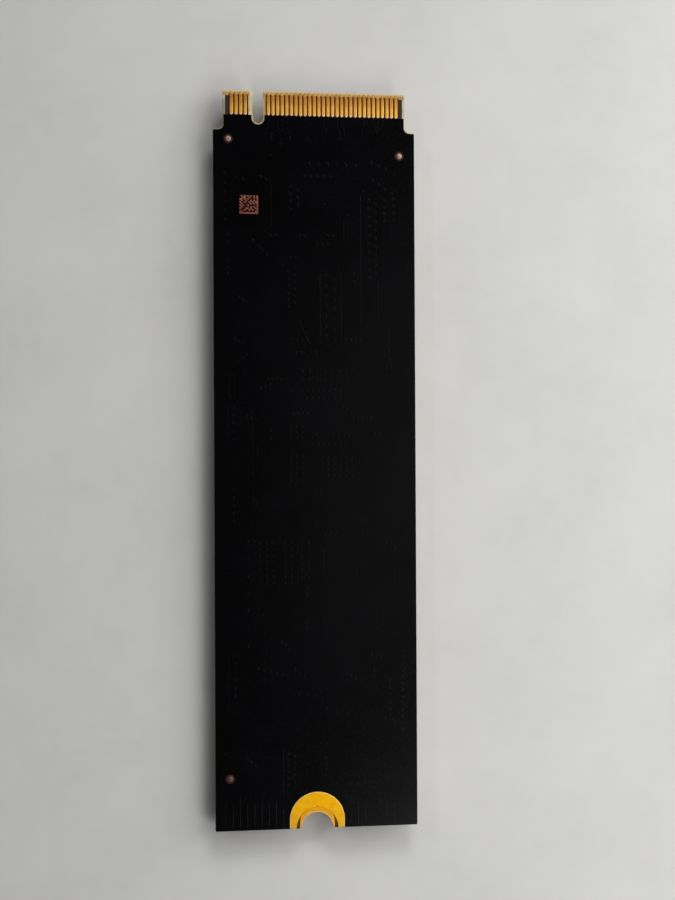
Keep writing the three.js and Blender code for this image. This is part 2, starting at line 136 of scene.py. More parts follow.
def rounded_rectangle(low, high, radius, steps=3):
    left, front = low[0] + radius, low[1] + radius
    right, back = high[0] - radius, high[1] - radius
    outline = []
    for turn, corner in enumerate(((right, back), (left, back), (left, front), (right, front))):
        outline += arc(corner, radius, 90 * turn, 90 * turn + 90, steps)
    return outline


def placed(outline, centre, axis=(1, 0)):
    """An outline drawn about the origin, turned to an axis and moved to a centre."""
    return [(centre[0] + u * axis[0] - v * axis[1], centre[1] + u * axis[1] + v * axis[0])
            for u, v in outline]


def block(centre, length, width, radius, axis=(1, 0), shift=0.0):
    """A rounded rectangle about a centre, turned to an axis and shifted along it."""
    low, high = (shift - length / 2, -width / 2), (shift + length / 2, width / 2)
    return placed(rounded_rectangle(low, high, radius), centre, axis)


def cut_rectangle(half, reach, cut):
    """A rectangle about the origin with its corners cut off."""
    return [(half, -reach + cut), (half, reach - cut), (half - cut, reach), (-half + cut, reach),
            (-half, reach - cut), (-half, -reach + cut), (-half + cut, -reach), (half - cut, -reach)]


def inset_outline(outline, inset):
    """Moves every point of an anticlockwise outline inwards, with mitred corners."""
    moved = []
    count = len(outline)
    for index, point in enumerate(outline):
        before = Vector(point) - Vector(outline[index - 1])
        after = Vector(outline[(index + 1) % count]) - Vector(point)
        first = Vector((-before.y, before.x)).normalized()
        second = Vector((-after.y, after.x)).normalized()
        corner = (first + second) / max(0.3, 1 + first.dot(second))
        moved.append(beside(point, corner, inset))
    return moved


def flat(height, foot=0.0):
    """The profile of a layer with square edges."""
    return [(0, foot), (0, height)]


def soft_top(height, radius, steps=2):
    """A profile with straight sides and a rounded free edge."""
    curve = [(radius * (1 - math.cos(a)), height - radius * (1 - math.sin(a)))
             for a in (math.radians(90 * step / steps) for step in range(steps + 1))]
    return [(0, 0)] + curve


def soft_both(height, radius, steps=2):
    """A profile with both its edges rounded."""
    top = soft_top(height, radius, steps)[1:]
    foot = [(inset, height - rise) for inset, rise in reversed(top)]
    return foot + top


def disc(radius, height, foot=0.0):
    """The turned profile of a flat disc."""
    return [(0, foot), (radius, foot), (radius, height), (0, height)]


# ---- Pieces ----

SMOOTH_ANGLE = math.radians(35)
EASED_ANGLE = math.radians(50)
FLAT_AREA = 0.2 * MM * MM
MERGE_DISTANCE = MM / 5000
CREST_SHARE = 0.55


def add_object(name, data):
    added = bpy.data.objects.new(name, data)
    bpy.context.scene.collection.objects.link(added)
    return added


class Piece:
    """Closed bodies that grow outwards from one face of the board."""

    def __init__(self, face):
        self.face = face
        self.bm = bmesh.new()

    def ring(self, points, base):
        """Corners at places (x, y, rise) over a level."""
        return [self.bm.verts.new((x, y, base + self.face.out * rise)) for x, y, rise in points]

    def facet(self, corners, material):
        self.bm.faces.new(corners).material_index = material

    def bridge(self, rings, material):
        """Joins each ring of corners to the next."""
        for lower, upper in zip(rings, rings[1:]):
            for index in range(len(lower)):
                after = (index + 1) % len(lower)
                self.facet((lower[index], lower[after], upper[after], upper[index]), material)

    def close(self, rings, material=0):
        """Joins the rings and caps both their ends."""
        self.bridge(rings, material)
        self.facet(rings[0][::-1], material)
        self.facet(rings[-1], material)

    def solid(self, outline, profile, base, material=0):
        """A solid on an outline: profile lists (inset, rise) from its foot to its top."""
        rings = []
        for inset, rise in profile:
            rings.append(self.ring([(x, y, rise) for x, y in inset_outline(outline, inset)], base))
        self.close(rings, material)

    def turned(self, centre, profile, base, sides=12, material=0):
        """A turned solid: profile lists (radius, rise), and both its ends lie on the axis."""
        foot, tip = self.ring([(*centre, profile[0][1]), (*centre, profile[-1][1])], base)
        turn = [2 * math.pi * side / sides for side in range(sides)]
        rings = []
        for radius, rise in profile[1:-1]:
            points = [(*beside(centre, (math.cos(a), math.sin(a)), radius), rise) for a in turn]
            rings.append(self.ring(points, base))
        self.bridge(rings, material)
        for side in range(sides):
            after = (side + 1) % sides
            self.facet((foot, rings[0][after], rings[0][side]), material)
            self.facet((tip, rings[-1][side], rings[-1][after]), material)

    def ribbon(self, path, width, height, base):
        """A low ridge with sloping sides along a path of points."""
        half, crest = width / 2, width / 2 * CREST_SHARE
        section = [(-half, -height / 2), (-crest, height), (crest, height), (half, -height / 2)]
        rings = []
        for index, point in enumerate(path):
            before = Vector(point) - Vector(path[max(index - 1, 0)])
            after = Vector(path[min(index + 1, len(path) - 1)]) - Vector(point)
            before = (before if before.length else after).normalized()
            after = (after if after.length else before).normalized()
            side = Vector((-before.y - after.y, before.x + after.x)) / (1 + before.dot(after))
            rings.append(self.ring([(*beside(point, side, u), rise) for u, rise in section], base))
        self.close(rings)

    def on_bevel(self, outline, layers, material=0):
        """A thin solid that lies on the bevel's slope: layers lists (inset, rise)."""
        rings = []
        for inset, rise in layers:
            points = [(x, y, rise - BEVEL_SLOPE * (y - BEVEL_START))
                      for x, y in inset_outline(outline, inset)]
            rings.append(self.ring(points, self.face.laminate))
        self.close(rings, material)

    def section(self, shape, origin, outward, width, base):
        """A closed section, drawn as (distance outward, rise), carried across a width."""
        side = (-outward[1], outward[0])
        ends = []
        for offset in (-width / 2, width / 2):
            points = [(*beside(beside(origin, outward, u), side, offset), rise) for u, rise in shape]
            ends.append(self.ring(points, base))
        self.close(ends)

    def fillet(self, origin, outward, width, reach, rise):
        """Solder that runs from the mask up the side of a terminal, hollow like a real fillet."""
        foot, inner = -0.004 * MM, -0.03 * MM
        shape = [(inner, foot), (inner, rise), (0.008 * MM, rise), (reach * 0.22, rise * 0.5),
                 (reach * 0.55, rise * 0.18), (reach, 0.02 * MM), (reach, foot)]
        self.section(shape, origin, outward, width, self.face.mask)

    def place(self, name, materials):
        """Turns the bodies into an object."""
        bm = self.bm
        bmesh.ops.recalc_face_normals(bm, faces=bm.faces)
        for edge in bm.edges:
            edge.smooth = len(edge.link_faces) == 2 and edge.calc_face_angle() < SMOOTH_ANGLE
        for face in bm.faces:
            face.smooth = face.calc_area() < FLAT_AREA
        mesh = bpy.data.meshes.new(name)
        bm.to_mesh(mesh)
        bm.free()
        for material in materials:
            mesh.materials.append(material)
        return add_object(name, mesh)

    def finish(self, name, materials, replaced=None):
        """Fixes the piece to the drive, and hides the CAD node that it stands for if one is named."""
        piece = self.place(name, materials)
        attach(piece, ROOT)
        if replaced:
            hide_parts(replaced)


def softened_copy(node, name, width, material):
    """A copy of a CAD node with its sharp edges eased, which stands for the node."""
    piece = Piece(BARE)
    bm = piece.bm
    bm.from_mesh(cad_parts[node].data)
    bmesh.ops.remove_doubles(bm, verts=bm.verts, dist=MERGE_DISTANCE)
    bmesh.ops.dissolve_limit(bm, angle_limit=math.radians(1), verts=bm.verts, edges=bm.edges)
    sharp = [edge for edge in bm.edges if edge.calc_face_angle(0) > EASED_ANGLE]
    bmesh.ops.bevel(bm, geom=sharp, offset=width, segments=2, profile=0.5, affect="EDGES",
                    clamp_overlap=True)
    piece.finish(name, [material], node)


# ---- Material helpers: noise sizes and relief depths are in millimetres ----

class Surface:
    """A principled material built up from procedural nodes. Its slot argument is not used."""

    def __init__(self, name, slot, metallic=0.0, specular=0.5):
        self.material = bpy.data.materials.new(name)
        self.material.use_nodes = True
        self.nodes = self.material.node_tree.nodes
        self.links = self.material.node_tree.links
        self.shader = self.nodes["Principled BSDF"]
        self.shader.inputs["Metallic"].default_value = metallic
        self.shader.inputs["Specular IOR Level"].default_value = specular
        self.shader.inputs["IOR"].default_value = 1.5
        self.place = self.nodes.new("ShaderNodeTexCoord").outputs["Object"]

    def feed(self, socket, value):
        """Links a socket's value, or sets a plain number, list or colour on it."""
        if isinstance(value, bpy.types.NodeSocket):
            self.links.new(value, socket)
        elif socket.type == "RGBA":
            socket.default_value = (*value, 1)
        else:
            socket.default_value = value

    def add(self, kind, settings=None, **inputs):
        node = self.nodes.new(kind)
        for key, value in (settings or {}).items():
            setattr(node, key, value)
        for key, value in inputs.items():
            self.feed(node.inputs[key.replace("_", " ")], value)
        return node

    def noise(self, size, detail=3.0, stretch=(1, 1, 1), roughness=0.55):
        """Noise whose features are about size across."""
        vector = self.add("ShaderNodeMapping", Vector=self.place, Scale=stretch).outputs["Vector"]
        node = self.add("ShaderNodeTexNoise", Vector=vector, Scale=1 / (size * MM), Detail=detail,
                        Roughness=roughness)
        return node.outputs["Fac"]

    def ramp(self, factor, low, high, start=0.3, end=0.7):
        node = self.add("ShaderNodeMapRange", Value=factor, From_Min=start, From_Max=end, To_Min=low,
                        To_Max=high)
        return node.outputs["Result"]

    def mix(self, factor, first, second):
        node = self.add("ShaderNodeMix", {"data_type": "RGBA"})
        for index, value in ((0, factor), (6, first), (7, second)):
            self.feed(node.inputs[index], value)
        return node.outputs[2]

    def axis(self, name):
        return self.add("ShaderNodeSeparateXYZ", Vector=self.place).outputs[name]

    def fade(self, name, low, high, start, end):
        """A ramp between two places on an axis."""
        return self.ramp(self.axis(name), low, high, start, end)

    def math(self, operation, first, second=0.0):
        node = self.add("ShaderNodeMath", {"operation": operation})
        self.feed(node.inputs[0], first)
        self.feed(node.inputs[1], second)
        return node.outputs[0]

    def wave(self, axis, pitch):
        return self.math("SINE", self.math("MULTIPLY", self.axis(axis), 2 * math.pi / (pitch * MM)))

    def colour(self, socket):
        self.links.new(socket, self.shader.inputs["Base Color"])

    def roughness(self, socket):
        self.links.new(socket, self.shader.inputs["Roughness"])

    def bump(self, height, depth):
        """Relief that is so deep between the height's 0 and 1."""
        node = self.add("ShaderNodeBump", Height=height, Distance=depth * MM, Strength=1.0)
        previous = self.shader.inputs["Normal"].links
        if previous:
            self.links.new(previous[0].from_socket, node.inputs["Normal"])
        self.links.new(node.outputs["Normal"], self.shader.inputs["Normal"])


def grained(name, slot, dark, light, size, rough, depth, metallic=0.0, specular=0.5):
    """A surface whose colour and gloss wander, with fine relief of the same grain."""
    surface = Surface(name, slot, metallic, specular)
    coarse = surface.noise(size * 6)
    fine = surface.noise(size, detail=5)
    blended = surface.mix(surface.ramp(coarse, 0, 1), dark, light)
    surface.colour(surface.mix(surface.ramp(fine, 0, 0.5), blended, light))
    surface.roughness(surface.ramp(fine, *rough))
    surface.bump(fine, depth)
    return surface.material


# ---- Materials ----

def solder_mask_surface():
    """Black lacquer over a glass weave, with a faint orange peel."""
    surface = Surface("black_solder_mask", "solder_mask", specular=0.125)
    cloud = surface.noise(6, detail=2)
    peel = surface.noise(0.22, detail=2)
    black, blueish = (0.0007, 0.0007, 0.0011), (0.0016, 0.0015, 0.0023)
    surface.colour(surface.mix(surface.ramp(cloud, 0, 1), black, blueish))
    surface.roughness(surface.ramp(peel, 0.2, 0.28))
    warp, weft = surface.wave("X", 0.55), surface.wave("Y", 0.55)
    surface.bump(surface.math("MULTIPLY", warp, weft), 0.0006)
    surface.bump(peel, 0.002)
    return surface.material


def laminate_surface():
    """Pale glass-epoxy, layered through its thickness, more golden by the bevel, and made grey by painted
    shade along its left rim away from the contact edge.
    """
    surface = Surface("board_laminate", "board_laminate", specular=0.45)
    fibre = surface.noise(0.12, detail=4, stretch=(0.25, 0.25, 3))
    pale = surface.mix(surface.ramp(fibre, 0, 1), (0.50, 0.43, 0.22), (0.68, 0.60, 0.36))
    layers = surface.ramp(surface.wave("Z", 0.2), 0, 0.55, 0.1, 1)
    layered = surface.mix(layers, pale, (0.30, 0.24, 0.10))
    toward_bevel = surface.fade("Y", 0, 1, along(0.66), along(0.56))
    golden = surface.mix(toward_bevel, layered, (0.35, 0.19, 0.05))
    toward_edge = surface.fade("Y", 0, 1, along(0.36), along(0.1))
    edged = surface.mix(toward_edge, golden, (0.56, 0.42, 0.20))
    from_key = surface.math("ABSOLUTE", surface.math("SUBTRACT", surface.axis("X"), KEY_LEFT))
    near_key = surface.ramp(from_key, 1, 0, 0.22 * MM, 0.36 * MM)
    on_bevel = surface.math("MULTIPLY", near_key, toward_bevel)
    edged = surface.mix(on_bevel, edged, (0.72, 0.50, 0.22))
    # Painted shade: the laminate's left rim turns grey away from the contact edge.
    shade_toward_left_rim = surface.fade("X", 0, 0.75, TAB_LEFT + 0.3 * MM, TAB_LEFT + 0.2 * MM)
    shade_toward_mask = surface.fade("Y", 1, 0, along(1.2), along(0.7))
    left_rim_painted_shade = surface.math("MULTIPLY", shade_toward_left_rim, shade_toward_mask)
    surface.colour(surface.mix(left_rim_painted_shade, edged, (0.15, 0.15, 0.12)))
    surface.roughness(surface.ramp(fibre, 0.45, 0.7))
    surface.bump(fibre, 0.012)
    return surface.material


def contact_painted_reflection(surface, tone):
    """Painted reflection along each contact: duller gold by the bevel, fuller towards the heel, and a
    pale painted highlight where it meets the mask.
    """
    for low, high, start, end, colour in ((0.8, 0, 0.7, 1.7, (0.50, 0.24, 0.045)),
                                          (0, 0.8, 1.4, 2.0, (0.96, 0.54, 0.10)),
                                          (0, 0.8, 2.4, 2.65, (0.95, 0.72, 0.48))):
        tone = surface.mix(surface.fade("Y", low, high, along(start), along(end)), tone, colour)
    return tone


def radius_from(surface, y, above_only=False):
    """The distance of a point from a place on the board's centre line."""
    x, beyond = surface.axis("X"), surface.math("SUBTRACT", surface.axis("Y"), y)
    if above_only:
        beyond = surface.math("MAXIMUM", beyond, 0.0)
    squares = [surface.math("MULTIPLY", side, side) for side in (x, beyond)]
    return surface.math("SQRT", surface.math("ADD", *squares))


def ring_tint_and_painted_rims(surface, tone):
    """A warmer collar, pale painted highlights along the rims, and duller metal where the end was sawn.
    """
    end = BOARD_LOW.y
    outer = radius_from(surface, RING_CENTRE_Y, above_only=True)
    inner = radius_from(surface, end)
    collar = surface.ramp(inner, 0.6, 0, GROOVE_RADIUS - 0.04 * MM, GROOVE_RADIUS + 0.06 * MM)
    tone = surface.mix(collar, tone, (0.86, 0.36, 0.02))
    # Painted highlights: a pale line along the land's outer rim and along the hole's edge.
    outer_painted_highlight = surface.ramp(outer, 0, 0.6, RING_RADIUS - 0.11 * MM, RING_RADIUS - 0.05 * MM)
    inner_painted_highlight = surface.ramp(inner, 0.7, 0, HOLE_RADIUS + 0.06 * MM, HOLE_RADIUS + 0.12 * MM)
    tone = surface.mix(surface.math("MAXIMUM", outer_painted_highlight, inner_painted_highlight), tone, (1.0, 0.80, 0.46))
    legs = surface.fade("Y", 0.4, 0, end + 0.4 * MM, end + 2.4 * MM)
    tone = surface.mix(legs, tone, (0.70, 0.40, 0.05))
    sawn = surface.fade("Y", 0.6, 0, end + 0.05 * MM, end + 0.28 * MM)
    return surface.mix(sawn, tone, (0.50, 0.38, 0.22))


def gold_surface(name, deep, bright, rough, tint_and_painted_light=None):
    """Plated gold with a fine grain, scuffed along the way that the drive slides in."""
    surface = Surface(name, "contact_gold", metallic=1.0)
    grain = surface.noise(0.05, detail=4)
    cloud = surface.noise(0.6, detail=4)
    scuff = surface.noise(0.06, detail=3, stretch=(1, 0.06, 1))
    tone = surface.mix(surface.ramp(cloud, 0, 1, 0.38, 0.62), deep, bright)
    # A function given here may paint reflections and highlights into the gold.
    if tint_and_painted_light:
        tone = tint_and_painted_light(surface, tone)
    surface.colour(surface.mix(surface.ramp(scuff, 0, 0.35, 0.55, 0.75), tone, bright))
    surface.roughness(surface.ramp(grain, *rough))
    surface.bump(grain, 0.0025)
    surface.bump(scuff, 0.0015)
    return surface.material


def molded_surface():
    """Black moulding compound: matt, with a fine grit of silica."""
    surface = Surface("moulding_compound", "package_mold", specular=0.4)
    grit = surface.noise(0.06, detail=5, roughness=0.7)
    cloud = surface.noise(2.5)
    base = surface.mix(surface.ramp(cloud, 0, 1), (0.014, 0.014, 0.015), (0.024, 0.024, 0.026))
    surface.colour(surface.mix(surface.ramp(grit, 0, 0.4, 0.6, 0.8), base, (0.07, 0.07, 0.07)))
    surface.roughness(surface.ramp(grit, 0.5, 0.72))
    surface.bump(grit, 0.006)
    return surface.material


def brushed_surface():
    """Nickel plating with its brush marks across the board."""
    surface = Surface("nickel_plating", "nickel_lid", metallic=1.0)
    dark = (0.48, 0.48, 0.49)
    brush = surface.noise(0.05, detail=5, stretch=(0.04, 1, 1))
    stain = surface.noise(3)
    tone = surface.mix(surface.ramp(brush, 0, 1), dark, (0.66, 0.66, 0.67))
    surface.colour(surface.mix(surface.ramp(stain, 0, 0.3), tone, dark))
    surface.roughness(surface.ramp(brush, 0.26, 0.42))
    surface.bump(brush, 0.0015)
    return surface.material


def resin(name, dark, light, size=0.09, specular=0.2):
    """Bare resin of the board, over whatever lies under it."""
    return grained(name, "board_laminate", dark, light, size, (0.4, 0.6), 0.002, specular=specular)


def worn_metal(name, slot, dark, light, size=0.08, rough=(0.4, 0.6)):
    return grained(name, slot, dark, light, size, rough, 0.003, metallic=1.0)


MASK = solder_mask_surface()
LAMINATE = laminate_surface()
INNER_PLANE = resin("resin_over_inner_copper", (0.024, 0.015, 0.013), (0.038, 0.023, 0.020))
GAP_RESIN = resin("resin_between_contacts", (0.045, 0.004, 0.0002), (0.075, 0.008, 0.0004), specular=0.1)
KEY_RESIN = resin("resin_by_the_key", (0.34, 0.17, 0.05), (0.48, 0.26, 0.08))
GROOVE_RESIN = resin("resin_in_the_screw_groove", (0.060, 0.018, 0.001), (0.120, 0.042, 0.003),
                     specular=0.1)
DEEP_RESIN = resin("resin_at_the_mask_edge", (0.004, 0.002, 0.0016), (0.010, 0.0045, 0.0035),
                   0.08, 0.1)
# Contact gold carries a painted reflection: duller by the bevel, paler where it meets the mask.
CONTACT_GOLD = gold_surface("contact_gold", (0.70, 0.32, 0.05), (0.87, 0.44, 0.09), (0.42, 0.58),
                            contact_painted_reflection)
# Darker gold for the contacts' tips on the bevel: painted shade.
TIP_GOLD_WITH_PAINTED_SHADE = gold_surface("bevelled_gold", (0.26, 0.12, 0.02), (0.38, 0.20, 0.05), (0.45, 0.6))
# Ring gold, with pale painted highlights along the rims of its land and hole.
RING_GOLD = gold_surface("ring_gold", (1.0, 0.48, 0.005), (1.0, 0.60, 0.015), (0.52, 0.66), ring_tint_and_painted_rims)
COPPER = worn_metal("bare_copper", "bare_copper", (0.34, 0.19, 0.17), (0.58, 0.38, 0.35))
# Darker copper for the mark by the screw end: painted shade.
COPPER_WITH_PAINTED_SHADE = worn_metal("copper_with_painted_shade", "bare_copper", (0.16, 0.08, 0.055), (0.27, 0.16, 0.12))
CODE_COPPER = worn_metal("code_copper", "bare_copper", (0.17, 0.045, 0.026), (0.47, 0.18, 0.13), 0.1)
CODE_FILM = grained("film_over_code_cells", "solder_mask", (0.012, 0.003, 0.001),
                    (0.030, 0.007, 0.002), 0.08, (0.3, 0.45), 0.002, specular=0.1)
AMBER = grained("mask_clearance_resin", "bare_copper", (0.021, 0.0075, 0.0055),
                (0.054, 0.020, 0.015), 0.08, (0.4, 0.6), 0.002, specular=0.2)
MOLD = molded_surface()
SUBSTRATE = grained("package_substrate", "package_substrate", (0.010, 0.030, 0.018),
                    (0.022, 0.055, 0.032), 0.1, (0.35, 0.55), 0.003)
TIN = worn_metal("tin_solder", "nickel_lid", (0.50, 0.50, 0.51), (0.74, 0.74, 0.75), 0.05, (0.24, 0.42))
NICKEL = brushed_surface()
FERRITE = grained("pressed_powder", "inductor_core", (0.055, 0.056, 0.06), (0.12, 0.12, 0.125),
                  0.07, (0.5, 0.75), 0.01)
CERAMIC_TAN = grained("capacitor_ceramic", "capacitor_ceramic", (0.25, 0.15, 0.085),
                      (0.36, 0.235, 0.14), 0.07, (0.32, 0.5), 0.003)
CRYSTAL_CERAMIC = grained("crystal_ceramic", "crystal_ceramic", (0.20, 0.165, 0.13),
                          (0.28, 0.24, 0.19), 0.08, (0.45, 0.6), 0.004)
GLAZE = grained("resistor_glaze", "resistor_body", (0.008, 0.008, 0.01), (0.02, 0.02, 0.024),
                0.08, (0.18, 0.34), 0.002)
ALUMINA = grained("alumina", "resistor_body", (0.62, 0.61, 0.58), (0.76, 0.75, 0.73), 0.06,
                  (0.45, 0.6), 0.003)
LASER_MARK = grained("laser_marked_compound", "package_mold", (0.16, 0.16, 0.16),
                     (0.26, 0.26, 0.26), 0.05, (0.6, 0.8), 0.002)
PAPER = grained("label_paper", "label_paper", (0.74, 0.74, 0.72), (0.86, 0.86, 0.84), 0.12,
                (0.42, 0.6), 0.003)
INK = grained("label_ink", "label_paper", (0.02, 0.02, 0.022), (0.05, 0.05, 0.053), 0.06,
              (0.4, 0.55), 0.001)


# ---- Board, inner plane and masks ----

PLANE_MARGIN = 0.24 * MM
GAP_MARGIN = 0.11 * MM
KEY_MARGIN = 0.08 * MM
KEY_SIDE_MARGIN = 0.17 * MM


def make_board():
    softened_copy("circuit_board", "laminate_core", 0.015 * MM, LAMINATE)
    root = MASK_HIGH.y - 0.2 * MM
    for name, face in (("even", BARE), ("odd", CHIP)):
        key_low, key_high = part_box(f"contacts_{name}_key")
        main_low, main_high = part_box(f"contacts_{name}_main")
        piece = Piece(face)
        for left, right, thickness, material in (
                (TAB_LEFT + PLANE_MARGIN, key_high.x, FILM, 0),
                (main_low.x, TAB_RIGHT - PLANE_MARGIN, FILM, 0),
                (key_low.x - GAP_MARGIN, key_high.x + KEY_SIDE_MARGIN, 2 * FILM, 1),
                (main_low.x - GAP_MARGIN, main_high.x + GAP_MARGIN, 2 * FILM, 1),
                (KEY_RIGHT + KEY_MARGIN, main_low.x, FILM, 2)):
            outline = rounded_rectangle((left, root), (right, BEVEL_START), 0.01 * MM)
            piece.solid(outline, flat(thickness), face.laminate, material)
        piece.finish(f"resin_round_{name}_contacts", [INNER_PLANE, GAP_RESIN, KEY_RESIN])
    for side in ("bare_side", "chip_side"):
        softened_copy(f"solder_mask_{side}", f"mask_{side}", 0.008 * MM, MASK)


# ---- Edge contacts ----

FINGER_WIDTH = 0.35 * MM
FINGER_PITCH = 0.5 * MM
FINGER_GAP_TO_MASK = 0.05 * MM
NECK_WIDTH = 0.14 * MM
TIP_WIDTH = 0.34 * MM
TIP_LENGTH = 0.47 * MM
GAP_RUN_OUT = 0.17 * MM


def finger_outline(x, root, front):
    """A contact that the bevel cuts off square, with a softly cornered heel."""
    half = FINGER_WIDTH / 2
    tip, heel = half * 0.12, half * 0.45
    return (arc((x + half - tip, front - tip), tip, 0, 90, 4)
            + arc((x - half + tip, front - tip), tip, 90, 180, 4)
            + arc((x - half + heel, root + heel), heel, 180, 270, 2)
            + arc((x + half - heel, root + heel), heel, 270, 360, 2))


def finger_places(node):
    """The centre line of each contact of a row, from its CAD comb."""
    low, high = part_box(node)
    count = round((high.x - low.x - FINGER_WIDTH) / FINGER_PITCH) + 1
    return [low.x + FINGER_WIDTH / 2 + FINGER_PITCH * index for index in range(count)]


def make_contacts(node, face):
    """A row of plated contacts with their necks under the mask, and their tips on the bevel."""
    height = face.plating
    root = MASK_HIGH.y + FINGER_GAP_TO_MASK
    profile = [(0.006 * MM, 0), (0.012 * MM, height * 0.75), (0.024 * MM, height * 0.95),
               (0.05 * MM, height)]
    piece = Piece(face)
    for x in finger_places(node):
        piece.solid(finger_outline(x, root, BEVEL_START), profile, face.laminate)
        neck = [(x, root + 0.02 * MM), (x, MASK_HIGH.y - 0.1 * MM)]
        piece.ribbon(neck, NECK_WIDTH, height * 0.4, face.laminate + face.out * FILM)
    piece.finish(f"plated_{node}", [CONTACT_GOLD], node)
    low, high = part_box(node)
    piece = Piece(face)
    strip = square_corners(low.x - GAP_MARGIN, BEVEL_START, high.x + GAP_MARGIN,
                           BEVEL_START + GAP_RUN_OUT)
    piece.on_bevel(strip, flat(2 * FILM, -SINK), 1)
    half, tip = TIP_WIDTH / 2, BEVEL_START + TIP_LENGTH
    for x in finger_places(node):
        foot = [(x - half, BEVEL_START), (x + half, BEVEL_START)]
        piece.on_bevel(arc((x, tip - half), half, 0, 180, 8) + foot,
                       [(0, -SINK), (0, 0.005 * MM), (0.02 * MM, 0.012 * MM)])
    # The tips on the bevel take the darker gold of painted shade.
    piece.finish(f"bevelled_{node}", [TIP_GOLD_WITH_PAINTED_SHADE, GAP_RESIN])


# ---- Screw notch ----

COLLAR_RADIUS = 2.255 * MM
COLLAR_WAIST = 0.35 * MM
WEDGE_START = 4
WEDGE_END = 44
NICK_WIDTH = 0.07 * MM
WALL_THICKNESS = 0.034 * MM
RING_STEPS = 40


def collar_radius(angle):
    """The inner collar narrows towards the end of the board, which opens two dark wedges."""
    above_end = min(angle, 180 - angle)
    closed = min(1, max(0, (above_end - WEDGE_START) / (WEDGE_END - WEDGE_START)))
    return COLLAR_RADIUS - COLLAR_WAIST * (1 - closed * closed * (3 - 2 * closed))


def make_screw_ring(name, face, replaced=None):
    """The gilded land and collar round the screw notch, and the dark groove between them."""
    end = BOARD_LOW.y
    centre = (0, end)
    hole = arc(centre, HOLE_RADIUS, 180, 0, RING_STEPS)
    land = ([(RING_RADIUS, end)] + arc((0, RING_CENTRE_Y), RING_RADIUS, 0, 180, RING_STEPS)
            + [(-RING_RADIUS, end)] + arc(centre, GROOVE_RADIUS, 180, 0, RING_STEPS))
    angles = [180 * step / RING_STEPS for step in range(RING_STEPS + 1)]
    collar = [(collar_radius(angle) * math.cos(math.radians(angle)),
               end + collar_radius(angle) * math.sin(math.radians(angle))) for angle in angles]
    floor = arc(centre, GROOVE_RADIUS + 0.02 * MM, 0, 180, RING_STEPS)
    height = face.plating
    piece = Piece(face)
    piece.solid(land, soft_top(height, 0.02 * MM), face.laminate)
    piece.solid(collar + hole, soft_top(height * 0.7, 0.02 * MM), face.laminate)
    piece.finish(f"{name}_land", [RING_GOLD], replaced)
    piece = Piece(face)
    piece.solid(floor + hole, flat(FILM), face.laminate)
    nick = rounded_rectangle((-NICK_WIDTH / 2, end + GROOVE_RADIUS + 0.02 * MM),
                             (NICK_WIDTH / 2, end + GROOVE_RADIUS + 0.2 * MM), 0.02 * MM)
    piece.solid(nick, flat(height + FILM), face.laminate)
    piece.finish(f"{name}_groove", [GROOVE_RESIN])


def make_screw_wall():
    centre = (0, BOARD_LOW.y)
    outline = (arc(centre, HOLE_RADIUS + WALL_THICKNESS, 0, 180, RING_STEPS)
               + arc(centre, HOLE_RADIUS, 180, 0, RING_STEPS))
    piece = Piece(BARE)
    piece.solid(outline, soft_both(RING_HIGH.z - RING_LOW.z, 0.01 * MM), RING_LOW.z)
    piece.finish("screw_notch_wall", [RING_GOLD])


# ---- Registration marks and coded patch ----

CLEARANCE_RADIUS = 0.57 * MM
SHADE_RADIUS = 0.44 * MM
CODE_CELLS = 12
CODE_SEED = 74
LONE_CHANCE = 0.9
CROWDED_CHANCE = 0.55


def node_centre(node):
    low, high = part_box(node)
    return ((low.x + high.x) / 2, (low.y + high.y) / 2)


def make_mark(node, face, metal=COPPER):
    """A low metal dot in a round clearance of the mask."""
    low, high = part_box(node)
    centre = node_centre(node)
    radius, height = (high.x - low.x) / 2, high.z - low.z
    dot = [(0, 0), (radius, 0), (radius * 0.96, height * 0.2), (radius * 0.8, height * 0.85),
           (radius * 0.6, height), (0, height * 1.08)]
    piece = Piece(face)
    piece.turned(centre, dot, face.laminate, 28)
    piece.finish(f"dot_{node}", [metal], node)
    piece = Piece(face)
    piece.turned(centre, disc(CLEARANCE_RADIUS, FILM), face.laminate, 28)
    piece.turned(centre, disc(SHADE_RADIUS, 2 * FILM), face.laminate, 28, 1)
    piece.finish(f"clearance_{node}", [DEEP_RESIN, AMBER])


def code_row(draw, row, below):
    """Which cells of a row are masked: two sides stay bare, two alternate, the rest is random."""
    cells = [row % 2 == 0]
    for column in range(1, CODE_CELLS - 1):
        crowded = cells[-1] and below[column]
        cells.append(draw.random() < (CROWDED_CHANCE if crowded else LONE_CHANCE))
    cells.append(False)
    if row == 0:
        cells = [False] * CODE_CELLS
    if row == CODE_CELLS - 1:
        cells = [column % 2 == 0 for column in range(CODE_CELLS)]
    return cells


def make_code_patch():
    """A copper patch under a grid of random masked cells, which says nothing."""
    low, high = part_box("matrix_code_pad")
    cell = (high.x - low.x) / CODE_CELLS
    piece = Piece(BARE)
    piece.solid(square_corners(low.x, low.y, high.x, high.y), flat(high.z - low.z), BARE.laminate)
    piece.finish("code_patch_copper", [CODE_COPPER], "matrix_code_pad")
    draw = random.Random(CODE_SEED)
    piece = Piece(BARE)
    cells = [False] * CODE_CELLS
    for row in range(CODE_CELLS):
        cells = code_row(draw, row, cells)
        column = 0
        while column < CODE_CELLS:
            run = 0
            while column + run < CODE_CELLS and cells[column + run]:
                run += 1
            if run:
                outline = square_corners(low.x + column * cell, low.y + row * cell,
                                         low.x + (column + run) * cell, low.y + (row + 1) * cell)
                piece.solid(outline, [(0, 0), (0.006 * MM, MASK_HIGH.z - high.z)], high.z)
            column += run + 1
    piece.finish("code_patch_cells", [CODE_FILM])


# ---- Relief under the mask ----

VIA_RADIUS = 0.2 * MM
TRACE_WIDTH = 0.13 * MM
TRACE_HEIGHT = 0.0045 * MM
VIA_HEIGHT = 0.009 * MM
BARE_SEED = 11
CHIP_SEED = 23

